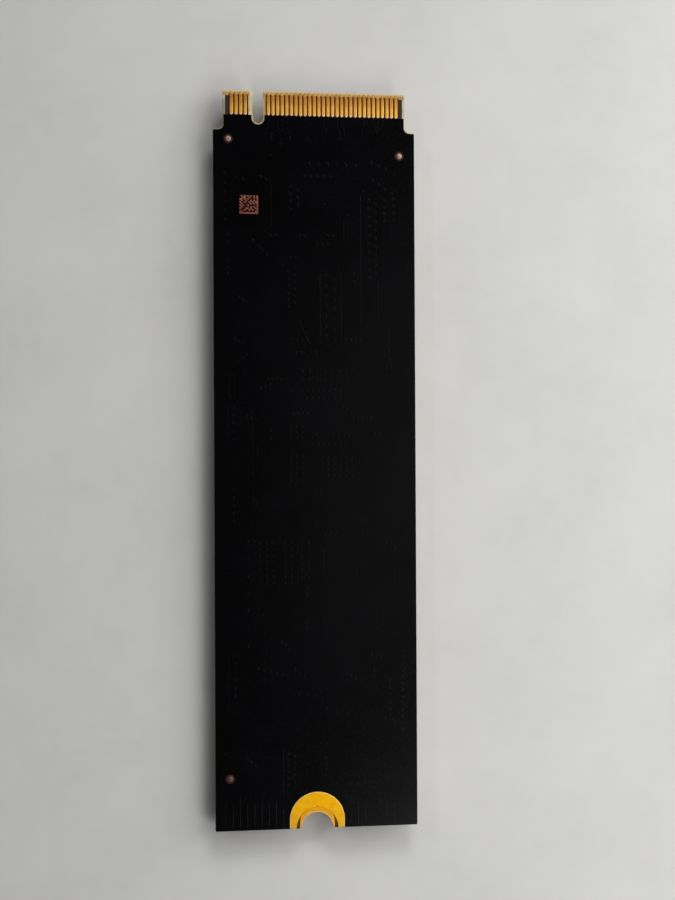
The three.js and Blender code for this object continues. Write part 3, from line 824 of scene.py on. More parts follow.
# Runs of vias on the bare side: across, from the contact edge, step across, step along, how many
BARE_VIAS = [
    (-0.6, 7.9, 1.0, 0, 6), (-1.2, 9.2, 0.72, 0, 5), (6.2, 7.7, 0.8, 0.3, 3), (6.3, 9.5, 0.7, 0.5, 4),
    (7.6, 11.7, 0, 0.75, 4), (8.6, 11.5, 0, 0.8, 4), (-2.7, 10.4, 0, 0.8, 4), (-1.9, 10.8, 0, 0.8, 3),
    (-9.8, 9.1, 0, 1.0, 6), (-8.7, 9.4, 0.9, 0.3, 2), (-5.9, 9.4, 0.5, 0.25, 2),
    (-9.5, 15.7, 0, 0.8, 2), (-4.9, 15.7, 0.6, 0, 2), (-1.7, 15.7, 0.5, 0, 2), (1.4, 15.7, 0.5, 0, 2),
    (-6.8, 16.4, 0.5, 0.45, 4), (0.2, 16.6, 0.55, 0, 3), (-2.8, 18.1, 0.55, 0, 2),
    (-9.5, 18.5, 0, 0.7, 3), (-3.0, 19.7, 0, 0.75, 6), (-2.3, 20.0, 0, 0.75, 5),
    (5.9, 11.7, 0, 0.95, 10), (6.6, 12.1, 0, 0.95, 9), (1.1, 20.0, 0, 1.1, 7), (2.0, 20.4, 0, 1.1, 7),
    (-8.4, 22.4, 0.5, 0.3, 2), (4.2, 19.8, 0, 0.9, 2), (8.0, 26.0, 0, 1.1, 4),
    (-2.6, 27.0, 0.55, 0, 4), (3.3, 27.0, 0.5, 0, 4), (-2.2, 28.4, 0.6, 0, 2),
    (-0.6, 28.4, 0.6, 0, 2), (-8.8, 27.0, 0.4, 0.2, 3), (-7.6, 28.6, -0.4, 0.4, 3),
    (-1.5, 30.4, 0.8, 0, 8), (-1.5, 31.3, 0.8, 0, 8), (-5.2, 31.3, 0.45, 0, 4),
    (-6.0, 32.3, 0.5, -0.2, 3), (-1.6, 32.5, 0.6, 0, 8), (-1.6, 33.3, 0.6, 0, 8),
    (2.9, 34.3, 0.45, 0.3, 3), (-2.5, 35.0, 0.5, 0, 4), (4.0, 35.6, 0.5, 0, 5),
    (-9.0, 34.3, 0, 0.86, 5), (-7.6, 35.2, 0.5, 0.3, 3), (0.0, 37.4, 0.6, 0, 7),
    (0.2, 38.3, 0.6, 0, 6), (6.3, 37.3, 0.6, 0, 2), (-9.0, 43.3, 0, 0.82, 5), (-5.0, 36.9, 0, 0.8, 2),
    (-6.9, 44.4, 0.4, 0.3, 2), (-0.2, 43.6, 0.6, 0, 2), (-7.5, 48.8, 0, 1.88, 7),
    (0.7, 49.9, 0, 0.8, 4), (-1.1, 53.9, 0, 0.8, 2), (0.9, 48.0, 0.6, 0, 3), (4.9, 47.9, 1.5, 0, 2),
    (7.6, 49.0, 0.5, 0.35, 3), (8.4, 51.9, 0, 0.8, 2), (-1.1, 57.5, 0, 0.8, 3),
    (6.5, 56.8, 0, 0.8, 3), (-3.9, 59.7, 0.4, 0.4, 3), (-6.4, 62.5, 0.65, 0.2, 6),
    (-8.9, 61.0, 0, 0.9, 6), (-2.4, 62.7, 0.5, 0.4, 3), (-2.0, 65.3, 0.9, 0.2, 3),
    (3.2, 63.2, 0.5, 0.35, 4), (6.0, 61.3, 0.5, 0.1, 3), (6.2, 62.9, 0, 0.7, 2),
    (9.4, 60.9, 0, 0.72, 13), (8.0, 64.1, 0, 0.8, 5), (1.0, 67.0, 1.2, 0.4, 3),
    (7.5, 68.3, 0.9, 0.2, 2), (-3.2, 71.8, 0, 0.68, 6), (-2.5, 72.1, 0, 0.68, 5),
    (0.9, 72.4, 0, 0.62, 4), (-7.6, 72.2, 0.4, 0.4, 3), (3.6, 75.4, 0.8, -0.1, 6),
]

# Blocks of vias under the chips: first across, first along, columns, rows, step
BARE_VIA_BLOCKS = [
    (-2.8, 36.4, 3, 3, 0.62), (-2.8, 39.7, 3, 5, 0.62), (0.6, 39.8, 6, 4, 0.66),
    (-6.2, 49.0, 3, 7, 0.72), (-3.5, 49.0, 2, 7, 0.72), (-1.7, 49.0, 2, 6, 0.76),
]

# Straight traces on the bare side: across and along of one end, then of the other
BARE_TRACES = [
    (-4.8, 9.9, -4.8, 14.6), (5.0, 11.2, 5.0, 25.1), (3.1, 13.8, 3.1, 15.9), (3.6, 14.2, 3.6, 15.9),
    (-9.4, 30.5, -9.4, 33.3), (-8.8, 30.5, -8.8, 33.3), (-9.6, 34.0, -9.6, 38.4),
    (-6.9, 34.6, -6.9, 41.9), (-6.4, 38.4, -6.4, 41.4), (4.7, 39.2, 4.7, 41.2),
    (5.1, 39.2, 5.1, 41.2), (-6.9, 43.6, -6.9, 45.2), (4.2, 51.1, 4.2, 53.2), (4.8, 51.1, 4.8, 53.2),
    (8.5, 51.7, 8.5, 53.4), (9.0, 51.7, 9.0, 53.4), (-5.7, 61.6, -5.7, 64.6),
    (-3.6, 62.0, -3.6, 64.2), (-9.6, 61.0, -9.6, 67.4), (-3.7, 71.2, -3.7, 76.4),
    (0.6, 64.1, 0.6, 65.0), (1.1, 64.1, 1.1, 65.0), (8.7, 57.0, 8.7, 60.2), (3.4, 44.9, 5.4, 46.9),
    (-4.6, 17.9, -3.2, 19.3), (-2.0, 24.4, -0.6, 27.6), (6.9, 20.8, 6.9, 24.6),
    (-7.7, 64.4, -7.7, 66.2),
]

# Outlines with round ends on the bare side: centre across and along, width, length
BARE_LOOPS = [(1.65, 23.6, 2.3, 9.0), (0.9, 57.1, 0.8, 2.6), (8.0, 29.8, 0.7, 1.6)]

# Small raised specks on the mask: across, from the contact edge
BARE_SPECKS = [
    (-4.8, 7.0), (3.6, 13.4), (1.2, 12.2), (5.3, 10.8), (-6.7, 16.2), (-2.5, 32.5), (-5.8, 56.8),
    (-9.9, 71.7), (1.1, 70.9),
]

# Traces that leave the contacts, and stubs at the sawn end: chances, then millimetres
UNROUTED_CHANCE = 0.35
VIA_CHANCE = 0.4
JOG = 0.25
STUBS_A_SIDE = 9
STUB_START = 3.7
STUB_PITCH = 0.78
STUB_MARGIN = 0.35


class Relief:
    """The vias and traces that show through the mask as low relief on one face."""

    def __init__(self, face, seed):
        self.face = face
        self.draw = random.Random(seed)
        self.vias = Piece(face)
        self.traces = Piece(face)

    def via(self, x, s):
        profile = [(0, -SINK), (VIA_RADIUS, -SINK), (VIA_RADIUS * 0.82, VIA_HEIGHT),
                   (VIA_RADIUS * 0.55, VIA_HEIGHT), (VIA_RADIUS * 0.36, 0.001 * MM), (0, 0.001 * MM)]
        self.vias.turned((x * MM, along(s)), profile, self.face.mask, 14)

    def via_runs(self, runs):
        for x, s, step_x, step_s, count in runs:
            for index in range(count):
                self.via(x + step_x * index, s + step_s * index)

    def trace(self, points):
        path = [(x * MM, along(s)) for x, s in points]
        self.traces.ribbon(path, TRACE_WIDTH, TRACE_HEIGHT, self.face.mask)

    def jogged(self, x, start, bend, jog, end):
        self.trace([(x, start), (x, bend), (x + jog, bend + abs(jog)), (x + jog, end)])

    def loop(self, x, s, width, length):
        """Four straight ridges with cut corners, drawn as one closed path."""
        points = [(x + u, s + v) for u, v in cut_rectangle(width / 2, length / 2, width * 0.3)]
        self.trace(points[1:] + points[:2])

    def fan_out(self, node, longest):
        """The trace that leaves each contact, jogs sideways and drops into a via."""
        root = (BOARD_HIGH.y - MASK_HIGH.y) / MM
        for x in finger_places(node):
            across = x / MM
            if across < KEY_RIGHT / MM + 0.4 or self.draw.random() < UNROUTED_CHANCE:
                continue
            bend = root + self.draw.uniform(0.6, longest * 0.6)
            jog = self.draw.choice((-JOG, JOG))
            end = bend + abs(jog) + self.draw.uniform(0.3, longest * 0.4)
            start = root + self.draw.uniform(0.05, 0.5)
            self.jogged(across, start, bend, jog, end)
            if self.draw.random() < VIA_CHANCE:
                self.via(across + jog, end + 0.1)

    def end_stubs(self):
        """Short traces that stop at the sawn end, either side of the screw notch."""
        end = (BOARD_HIGH.y - BOARD_LOW.y) / MM
        for side in (-1, 1):
            for index in range(STUBS_A_SIDE):
                across = side * (STUB_START + STUB_PITCH * index)
                top = end - self.draw.uniform(2.4, 3.6)
                self.trace([(across, top), (across, end - STUB_MARGIN)])

    def finish(self, side):
        self.vias.finish(f"{side}_vias", [MASK])
        self.traces.finish(f"{side}_traces", [MASK])


def make_bare_relief():
    relief = Relief(BARE, BARE_SEED)
    relief.fan_out("contacts_even_main", 3.4)
    relief.end_stubs()
    relief.via_runs(BARE_VIAS)
    for x, s, columns, rows, step in BARE_VIA_BLOCKS:
        for column in range(columns):
            relief.via_runs([(x + column * step, s, 0, step, rows)])
    for x, s, other_x, other_s in BARE_TRACES:
        relief.trace([(x, s), (other_x, other_s)])
    for loop in BARE_LOOPS:
        relief.loop(*loop)
    relief.finish("bare_side")
    piece = Piece(BARE)
    speck = [(0, -SINK), (0.055 * MM, -SINK), (0.05 * MM, 0.006 * MM), (0, 0.012 * MM)]
    for x, s in BARE_SPECKS:
        piece.turned((x * MM, along(s)), speck, BARE.mask, 10)
    piece.finish("bare_side_specks", [AMBER])


# ---- Ball grid packages ----

BALL_EDGE_INSET = 0.9 * MM
BALL_RADIUS = 0.2 * MM
SHOWN_BALL_RINGS = 2
PLATE_THICKNESS = 0.25 * MM
FOUR_WAYS = ((1, 0), (-1, 0), (0, 1), (0, -1))


def chip_box(node):
    """Centre, size along X and Y, the level it starts from, and its height, for a node."""
    low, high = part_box(node)
    return node_centre(node), (high.x - low.x, high.y - low.y), high.z, high.z - low.z


def make_ball_grid(node, pitch):
    """The laminate plate of a package and the outer solder balls that it stands on."""
    centre, (width, length), top, height = chip_box(node)
    gap = height - PLATE_THICKNESS
    piece = Piece(CHIP)
    plate = block(centre, width, length, 0.05 * MM)
    piece.solid(plate, soft_both(PLATE_THICKNESS, 0.012 * MM), top - gap)
    piece.finish(node, [SUBSTRATE], node)
    columns = round((width - 2 * BALL_EDGE_INSET) / pitch)
    rows = round((length - 2 * BALL_EDGE_INSET) / pitch)
    ball = [(0, -SINK), (BALL_RADIUS * 0.74, 0), (BALL_RADIUS, gap * 0.32), (BALL_RADIUS, gap * 0.68),
            (BALL_RADIUS * 0.74, gap), (0, gap + SINK)]
    piece = Piece(CHIP)
    for column in range(columns + 1):
        for row in range(rows + 1):
            if min(column, columns - column, row, rows - row) < SHOWN_BALL_RINGS:
                u, v = (column - columns / 2) * pitch, (row - rows / 2) * pitch
                piece.turned((centre[0] + u, centre[1] + v), ball, top)
    piece.finish(f"{node}_balls", [TIN])


def make_mold(node, edge, inset=0.015 * MM):
    """Moulded compound with eased edges and a matt dot beside its first terminal."""
    centre, (width, length), top, height = chip_box(node)
    piece = Piece(CHIP)
    outline = block(centre, width - 2 * inset, length - 2 * inset, 0.07 * MM)
    piece.solid(outline, soft_top(height, edge), top)
    spot = min(width, length) * 0.032 + 0.12 * MM
    place = (centre[0] - (width / 2 - 2.4 * spot), centre[1] + (length / 2 - 2.4 * spot))
    piece.turned(place, disc(spot, FILM, -SINK), top - height, 24, 1)
    piece.finish(f"{node}_compound", [MOLD, LASER_MARK], node)


def make_controller_lid():
    """A stamped heat spreader: a thin flange round a raised flat with rounded edges."""
    centre, (width, length), top, height = chip_box("controller_lid")
    flange, step, bend, dot_place = 0.6 * MM, 0.12 * MM, 0.03 * MM, 1.25 * MM
    piece = Piece(CHIP)
    piece.solid(block(centre, width, length, 0.4 * MM), soft_both(step, 0.015 * MM), top)
    curve = [(0, 0), (0, step - 0.01 * MM), (bend, step + 0.02 * MM)]
    curve += [(bend + inset, rise) for inset, rise in soft_top(height, 0.07 * MM, 3)[1:]]
    piece.solid(block(centre, width - 2 * flange, length - 2 * flange, 0.3 * MM), curve, top)
    piece.finish("controller_heat_spreader", [NICKEL], "controller_lid")
    piece = Piece(CHIP)
    corner = (centre[0] - width / 2 + dot_place, centre[1] + length / 2 - dot_place)
    piece.turned(corner, disc(0.28 * MM, FILM, -0.004 * MM), top - height, 24)
    piece.finish("controller_corner_dot", [LASER_MARK])


# ---- Leadless packages, inductors and crystal ----

LEAD_PITCH = 0.5 * MM
LEAD_WIDTH = 0.24 * MM
LEAD_MARGIN = 0.75 * MM


def lead_places(side_length):
    count = max(2, math.floor((side_length - LEAD_MARGIN) / LEAD_PITCH) + 1)
    return [(index - (count - 1) / 2) * LEAD_PITCH for index in range(count)]


def make_leadless(node, ways=FOUR_WAYS):
    """A flat moulded package whose leads show as tinned lands along its lower edge."""
    make_mold(node, 0.04 * MM)
    centre, (width, length), _, height = chip_box(node)
    lead = [(-0.3 * MM, 0), (-0.3 * MM, height * 0.26), (-0.004 * MM, height * 0.26), (-0.004 * MM, 0)]
    piece = Piece(CHIP)
    for outward in ways:
        reach = (width if outward[0] else length) / 2
        for place in lead_places(length if outward[0] else width):
            origin = beside(beside(centre, outward, reach), (-outward[1], outward[0]), place)
            piece.section(lead, origin, outward, LEAD_WIDTH, CHIP.mask)
            piece.fillet(origin, outward, LEAD_WIDTH, 0.22 * MM, height * 0.2)
    piece.finish(f"{node}_leads", [TIN])


def make_inductor(node):
    """A pressed powder block, its corners cut off, with a bent terminal at either end."""
    centre, (width, length), top, height = chip_box(node)
    cut, inset, foot, soft = 0.35 * MM, 0.02 * MM, 0.05 * MM, 0.03 * MM
    half, reach = width / 2 - inset, length / 2 - inset
    profile = [(soft, foot), (0, foot + soft)] + soft_top(height, 0.07 * MM, 3)[1:]
    piece = Piece(CHIP)
    piece.solid(placed(cut_rectangle(half, reach, cut), centre), profile, top)
    piece.finish(f"{node}_core", [FERRITE], node)
    piece = Piece(CHIP)
    rise, thick, under, skin = height * 0.62, 0.09 * MM, -0.9 * MM, 0.02 * MM
    bent = [(under, 0), (0.012 * MM, 0), (skin, soft), (skin, rise - 0.02 * MM), (0.008 * MM, rise),
            (-thick, rise), (-thick, thick), (under, thick)]
    for outward in FOUR_WAYS[:2]:
        origin = beside(centre, outward, half - 0.005 * MM)
        piece.section(bent, origin, outward, length * 0.46, top)
        piece.fillet(origin, outward, length * 0.44, 0.3 * MM, height * 0.3)
    piece.finish(f"{node}_terminals", [TIN])


def make_crystal():
    """A ceramic tray with tinned corner pads, and the welded lid over it."""
    centre, (width, length), top, height = chip_box("clock_crystal_base")
    notch, overlap = 0.17 * MM, 0.02 * MM
    half, reach = width / 2, length / 2
    corners = ((1, 1), (-1, 1), (-1, -1), (1, -1))
    outline = []
    for (sx, sy), start in zip(corners, (270, 0, 90, 180)):
        outline += arc((sx * half, sy * reach), notch, start, start - 90, 4)
    piece = Piece(CHIP)
    piece.solid(placed(outline, centre), soft_top(height, 0.02 * MM), top)
    piece.finish("crystal_tray", [CRYSTAL_CERAMIC], "clock_crystal_base")
    piece = Piece(CHIP)
    pad = [(0, 0), (notch * 0.96, 0), (notch * 0.96, height * 0.45), (0, height * 0.5)]
    for sx, sy in corners:
        corner = (centre[0] + sx * (half - overlap), centre[1] + sy * (reach - overlap))
        piece.turned(corner, pad, top, 16)
        origin = (corner[0] + sx * notch * 0.7, corner[1] - sy * 0.12 * MM)
        piece.fillet(origin, (sx, 0), 0.5 * MM, 0.2 * MM, height * 0.3)
    piece.finish("crystal_corner_pads", [TIN])
    centre, (width, length), top, height = chip_box("clock_crystal_lid")
    piece = Piece(CHIP)
    profile = [(0, 0), (0, height * 0.45), (0.02 * MM, height * 0.6), (0.2 * MM, height * 0.6),
               (0.23 * MM, height * 0.94), (0.27 * MM, height)]
    piece.solid(block(centre, width, length, 0.25 * MM), profile, top)
    piece.finish("crystal_lid", [NICKEL], "clock_crystal_lid")


# ---- Two-terminal parts ----

# How far a capacitor's caps reach, as a share of its diagonal
TERMINAL_SHARE = 0.175


def chip_part(node):
    """A part's centre, the way that it runs, its (length, width, height) and its top."""
    centre, (width, length), top, height = chip_box(node)
    if length > width:
        return centre, (0, 1), (length, width, height), top
    return centre, (1, 0), (width, length, height), top


def add_end_caps(piece, part, terminal):
    """Plated caps at both ends of a chip part, and the solder that holds them."""
    centre, axis, (length, width, height), base = part
    soft = min(0.04 * MM, height * 0.08)
    for side, outward in zip((-1, 1), both_ways(axis)):
        cap = block(centre, terminal, width, 1.4 * soft, axis, side * (length - terminal) / 2)
        piece.solid(cap, soft_both(height, soft), base)
        piece.fillet(beside(centre, outward, length / 2), outward, width * 0.92, height * 0.38,
                     height * 0.55)


def add_chip_body(piece, part, terminal):
    """The middle of a chip part, a little lower and narrower than its caps."""
    centre, axis, (length, width, height), base = part
    shy = 0.03 * MM if width > 0.7 * MM else 0.015 * MM
    body = block(centre, length - 2 * terminal + 0.06 * MM, width - shy, 0.03 * MM, axis)
    piece.solid(body, soft_both(height - 2 * shy, 0.02 * MM), base + CHIP.out * shy)


def make_end_caps(node, terminal):
    piece = Piece(CHIP)
    add_end_caps(piece, chip_part(node), terminal)
    piece.finish(f"{node}_caps", [TIN])


def make_capacitor(node, terminal):
    piece = Piece(CHIP)
    add_chip_body(piece, chip_part(node), terminal)
    piece.finish(f"{node}_ceramic", [CERAMIC_TAN], node)
    make_end_caps(node, terminal)


def make_resistor(node, terminal):
    """A slip of alumina with a glossy glaze over its outer face."""
    part = chip_part(node)
    centre, axis, (length, width, height), top = part
    piece = Piece(CHIP)
    add_chip_body(piece, part, terminal)
    glaze = block(centre, length - 2 * terminal + 0.02 * MM, width * 0.92, 0.05 * MM, axis)
    piece.solid(glaze, soft_top(0.03 * MM, 0.02 * MM), top - height + 0.035 * MM, 1)
    piece.finish(f"{node}_slip", [ALUMINA, GLAZE], node)
    make_end_caps(node, terminal)


def make_resistor_array(node):
    """Four small resistors in one slip, with their terminals along its two long sides."""
    centre, axis, (length, width, height), top = chip_part(node)
    piece = Piece(CHIP)
    slip = block(centre, length, width * 0.94, 0.03 * MM, axis)
    piece.solid(slip, soft_both(height - 0.03 * MM, 0.02 * MM), top)
    glaze = block(centre, length * 0.94, width * 0.5, 0.05 * MM, axis)
    piece.solid(glaze, soft_top(0.028 * MM, 0.015 * MM), top - height + 0.03 * MM, 1)
    piece.finish(f"{node}_slip", [ALUMINA, GLAZE], node)
    piece = Piece(CHIP)
    inner = 0.12 * MM
    for outward in both_ways((-axis[1], axis[0])):
        for index in range(4):
            place = beside(centre, axis, (index - 1.5) * length / 4)
            place = beside(place, outward, width / 2 - inner)
            cap = block(place, 0.3 * MM, 0.25 * MM, 0.05 * MM, axis)
            piece.solid(cap, soft_both(height, 0.03 * MM), top)
            piece.fillet(beside(place, outward, inner), outward, 0.28 * MM, 0.2 * MM, height * 0.5)
    piece.finish(f"{node}_caps", [TIN])


def make_bulk_capacitor(node):
    """A moulded tantalum block with drafted sides, strap terminals and a polarity band."""
    centre, axis, (length, width, height), top = chip_part(node)
    strap, foot, waist, soft = 0.1 * MM, 0.06 * MM, height * 0.5, 0.02 * MM
    body_length = length - 2 * strap
    profile = [(0.05 * MM, foot), (0, waist - soft), (0, waist + soft), (0.05 * MM, height - 0.06 * MM),
               (0.075 * MM, height - soft), (0.11 * MM, height)]
    piece = Piece(CHIP)
    piece.solid(block(centre, body_length, width, 0.14 * MM, axis), profile, top)
    band = block(centre, 0.5 * MM, width - 0.3 * MM, 0.03 * MM, axis, body_length / 2 - 0.5 * MM)
    piece.solid(band, flat(FILM, -SINK), top - height, 1)
    piece.finish(f"{node}_block", [MOLD, LASER_MARK], node)
    piece = Piece(CHIP)
    under, skin, hem = -0.7 * MM, 0.012 * MM, waist - 0.07 * MM
    hook = [(under, 0), (strap * 0.8, 0), (strap, 0.03 * MM), (strap, waist + soft),
            (-soft, waist + soft), (-soft, hem), (skin, hem), (skin, foot), (under, foot)]
    for outward in both_ways(axis):
        origin = beside(centre, outward, body_length / 2)
        piece.section(hook, origin, outward, width * 0.62, top)
        piece.fillet(beside(origin, outward, strap), outward, width * 0.6, 0.3 * MM, waist * 0.5)
    piece.finish(f"{node}_straps", [TIN])


# ---- Small parts, test pads, relief and label ----

SMALL_CAPACITOR = (1.0 * MM, 0.5 * MM, 0.5 * MM)
SMALL_RESISTOR = (1.0 * MM, 0.5 * MM, 0.35 * MM)
SMALL_TERMINAL = 0.25 * MM

# Rows of small parts: across, from the contact edge, step across, step along, how many, turned
CAPACITOR_ROWS = [
    (-7.6, 28.5, 1.45, 0, 11, False), (-5.6, 44.0, 1.5, 0, 8, False), (7.6, 30.6, 0, 1.5, 4, True),
    (-6.95, 30.6, 0, 1.5, 1, True), (-6.95, 36.2, 0, 1.5, 5, True), (-5.9, 56.85, 1.5, 0, 5, False),
    (0.9, 46.0, 0, 1.6, 6, True), (-7.2, 72.4, 1.6, 0, 4, False), (2.6, 72.4, 1.6, 0, 4, False),
    (-5.6, 12.3, 1.5, 0, 4, False), (-10.1, 15.2, 0, 1.9, 6, True), (10.1, 59.0, 0, 1.9, 6, True),
    (-8.3, 46.0, 0, 1.6, 2, True),
]
RESISTOR_ROWS = [
    (-3.6, 74.9, 1.5, 0, 2, False), (2.1, 74.9, 1.5, 0, 2, False), (10.0, 7.2, 0, 1.6, 4, True),
    (10.1, 14.6, 0, 1.9, 6, True), (-10.1, 59.6, 0, 1.9, 6, True), (-8.0, 77.5, 1.6, 0, 3, False),
    (5.0, 77.5, 1.6, 0, 3, False), (-8.3, 50.2, 0, 1.6, 4, True), (5.0, 50.4, 0, 1.6, 3, True),
    (-6.9, 6.4, 0, 1.5, 3, True),
]
TEST_PADS = [
    (-9.9, 29.2), (9.9, 28.9), (-9.6, 43.0), (-8.2, 43.0), (9.9, 43.4), (8.4, 43.4), (4.9, 56.4),
    (7.6, 56.6), (9.3, 56.6), (-9.4, 57.2), (-9.6, 74.4), (-9.6, 75.9), (7.2, 4.9), (-7.4, 4.9),
]
TEST_PAD_RADIUS = 0.38 * MM

# Runs of vias on the chip side: across, from the contact edge, step across, step along, how many
CHIP_VIAS = [
    (-7.0, 29.3, 0.75, 0, 19), (-8.6, 27.8, 0.8, 0, 22), (-6.4, 43.3, 0.8, 0, 16),
    (-7.2, 44.7, 0, 0.8, 6), (-8.2, 56.6, 0.6, 0, 3), (4.2, 72.2, 0, 0.6, 3),
    (-9.6, 14.0, 0, 1.1, 11), (9.6, 14.0, 0, 1.1, 11), (-9.6, 58.4, 0, 1.1, 12),
    (9.5, 58.4, 0, 1.1, 12), (-0.5, 6.6, 0, 0.7, 8), (4.8, 6.6, 0, 0.7, 8), (-6.6, 13.0, 0.8, 0, 9),
    (1.0, 54.4, 0, 0.7, 3), (5.6, 44.8, 0.7, 0, 7), (-8.9, 76.4, 0.8, 0, 6), (4.2, 76.6, 0.8, 0, 7),
    (7.4, 37.4, 0, 0.8, 1), (8.3, 33.0, 0.7, 0, 3), (-8.0, 31.3, 0, 0.1, 1), (-9.9, 36.3, 0.7, 0, 4),
    (-9.9, 41.8, 0.7, 0, 4), (5.5, 49.6, 0.7, 0, 7), (-7.9, 5.6, 0, 0.7, 3),
]

# Bundles of chip-side traces: first across, starts and ends along, pitch, sideways jog, how many
CHIP_BUNDLES = [
    (-5.6, 27.0, 30.1, 0.28, 0.5, 12), (1.4, 27.0, 30.1, 0.28, -0.4, 12),
    (-5.4, 42.7, 45.4, 0.26, 0.4, 18), (1.0, 42.7, 46.0, 0.3, 0.8, 10),
    (4.9, 42.7, 57.8, 0.26, 0.6, 7), (-6.9, 55.9, 57.9, 0.3, -0.4, 16),
    (-1.2, 71.4, 73.0, 0.35, 0.3, 7), (-3.4, 3.2, 6.6, 0.5, 0.3, 5), (0.7, 11.0, 13.4, 0.5, 0, 8),
    (-8.4, 42.3, 46.0, 0.28, 0.5, 4), (7.0, 41.2, 46.2, 0.3, 0.6, 6),
]


def add_small_row(row, size, body, caps, glaze=None):
    x, s, step_x, step_s, count, turned = row
    axis = (0, 1) if turned else (1, 0)
    for index in range(count):
        centre = ((x + step_x * index) * MM, along(s + step_s * index))
        part = (centre, axis, size, CHIP.mask)
        add_chip_body(body, part, SMALL_TERMINAL)
        add_end_caps(caps, part, SMALL_TERMINAL)
        if glaze:
            length, width, height = size
            outline = block(centre, length - 2 * SMALL_TERMINAL + 0.02 * MM, width * 0.9, 0.04 * MM, axis)
            glaze.solid(outline, soft_top(0.024 * MM, 0.015 * MM), CHIP.mask - height + 0.026 * MM)


def make_small_parts():
    ceramic, alumina, glaze, caps = (Piece(CHIP) for _ in range(4))
    for row in CAPACITOR_ROWS:
        add_small_row(row, SMALL_CAPACITOR, ceramic, caps)
    for row in RESISTOR_ROWS:
        add_small_row(row, SMALL_RESISTOR, alumina, caps, glaze)
    ceramic.finish("small_capacitors", [CERAMIC_TAN])
    alumina.finish("small_resistor_slips", [ALUMINA])
    glaze.finish("small_resistor_glaze", [GLAZE])
    caps.finish("small_part_caps", [TIN])
    piece = Piece(CHIP)
    pad = [(0, -SINK), (TEST_PAD_RADIUS, -SINK), (TEST_PAD_RADIUS, 0.006 * MM),
           (TEST_PAD_RADIUS * 0.93, 0.01 * MM), (0, 0.011 * MM)]
    for x, s in TEST_PADS:
        piece.turned((x * MM, along(s)), pad, CHIP.mask, 24)
    piece.finish("test_pads", [CONTACT_GOLD])


def make_chip_relief():
    relief = Relief(CHIP, CHIP_SEED)
    relief.fan_out("contacts_odd_main", 1.8)
    relief.end_stubs()
    relief.via_runs(CHIP_VIAS)
    for x, start, end, pitch, jog, count in CHIP_BUNDLES:
        for index in range(count):
            bend = start + (end - start) * 0.4 + 0.02 * index
            relief.jogged(x + pitch * index, start, bend, jog, end)
    relief.finish("chip_side")


# The label's print, from its centre: across, along, width and length in millimetres
LABEL_BARS = [
    (0, 4.9, 14.6, 1.2), (-3.8, 2.8, 7.0, 0.34), (-4.4, 2.0, 5.8, 0.34), (-3.5, 1.2, 7.6, 0.34),
    (-3.8, -0.1, 7.0, 0.16), (-4.6, -1.1, 5.4, 0.34), (-3.9, -1.9, 6.8, 0.34), (0, -3.2, 14.6, 0.12),
    (0, -5.2, 14.6, 0.12),
]
LABEL_BOXES = [
    (4.6, 0.6, 5.4, 5.2), (-5.6, -4.2, 1.3, 1.3), (-3.7, -4.2, 1.3, 1.3), (-1.8, -4.2, 1.3, 1.3),
]
LABEL_RULE = 0.12


def make_label():
    """A paper label whose print is only plain bars and ruled boxes."""
    centre, (width, length), top, height = chip_box("label")
    paper = height - 0.004 * MM
    piece = Piece(CHIP)
    piece.solid(block(centre, width, length, 0.5 * MM), soft_both(paper, 0.008 * MM, 3), top)
    piece.finish("label_sheet", [PAPER], "label")
    bars = [(*bar, 0.04) for bar in LABEL_BARS]
    for x, y, across, down in LABEL_BOXES:
        bars += [(x, y + down / 2, across, LABEL_RULE, 0.02), (x, y - down / 2, across, LABEL_RULE, 0.02),
                 (x + across / 2, y, LABEL_RULE, down, 0.02), (x - across / 2, y, LABEL_RULE, down, 0.02)]
    piece = Piece(CHIP)
    for x, y, across, down, radius in bars:
        place = (centre[0] + x * MM, centre[1] + y * MM)
        bar = block(place, across * MM, down * MM, radius * MM)
        piece.solid(bar, flat(0.003 * MM, -0.004 * MM), top - paper)
    piece.finish("label_print", [INK])


def make_chip_side():
    for package, pitch in (("flash_memory_near", 1.0), ("flash_memory_far", 1.0), ("buffer_memory", 0.8)):
        make_ball_grid(f"{package}_substrate", pitch * MM)
        make_mold(f"{package}_mold", 0.035 * MM)
    make_ball_grid("controller_substrate", 0.8 * MM)
    make_mold("controller_mold", 0.05 * MM, 0.0)
    make_controller_lid()
    for package in ("power_management_chip", "load_switch", "core_regulator", "temperature_sensor"):
        make_leadless(package)
    make_leadless("firmware_chip", FOUR_WAYS[2:])
    for number in range(1, 5):
        make_inductor(f"power_inductor_{number}")
    make_crystal()
    make_bulk_capacitor("bulk_capacitor_host")
    make_bulk_capacitor("bulk_capacitor_end")
    for node in sorted(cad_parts):
        if node.startswith("capacitor_"):
            low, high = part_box(node)
            make_capacitor(node, TERMINAL_SHARE * (high - low).xy.length)
        if node in ("resistor_sense", "resistor_strap_1", "resistor_strap_2"):
            make_resistor(node, 0.3 * MM)
        if node.startswith("resistor_array"):
            make_resistor_array(node)
    make_small_parts()
    make_chip_relief()
    make_label()


# ---- Camera, lights and table ----

CAMERA_PLACE = (-15.3 * MM, 0.11 * MM, 146.05 * MM)
CAMERA_TURN = (0.38, -6.9, -0.27)
CAMERA_LENS = 54.05
SENSOR = 36
CLIP_START = 0.005
TABLE_HALF = 1.2
TABLE_THICKNESS = 0.01
TABLE_CORNER = 0.05

WINDOW_COLOUR = (1.0, 0.993, 0.98)
ROOM_COLOUR = (0.9, 0.93, 1.0, 1)
ROOM_STRENGTH = 0.015

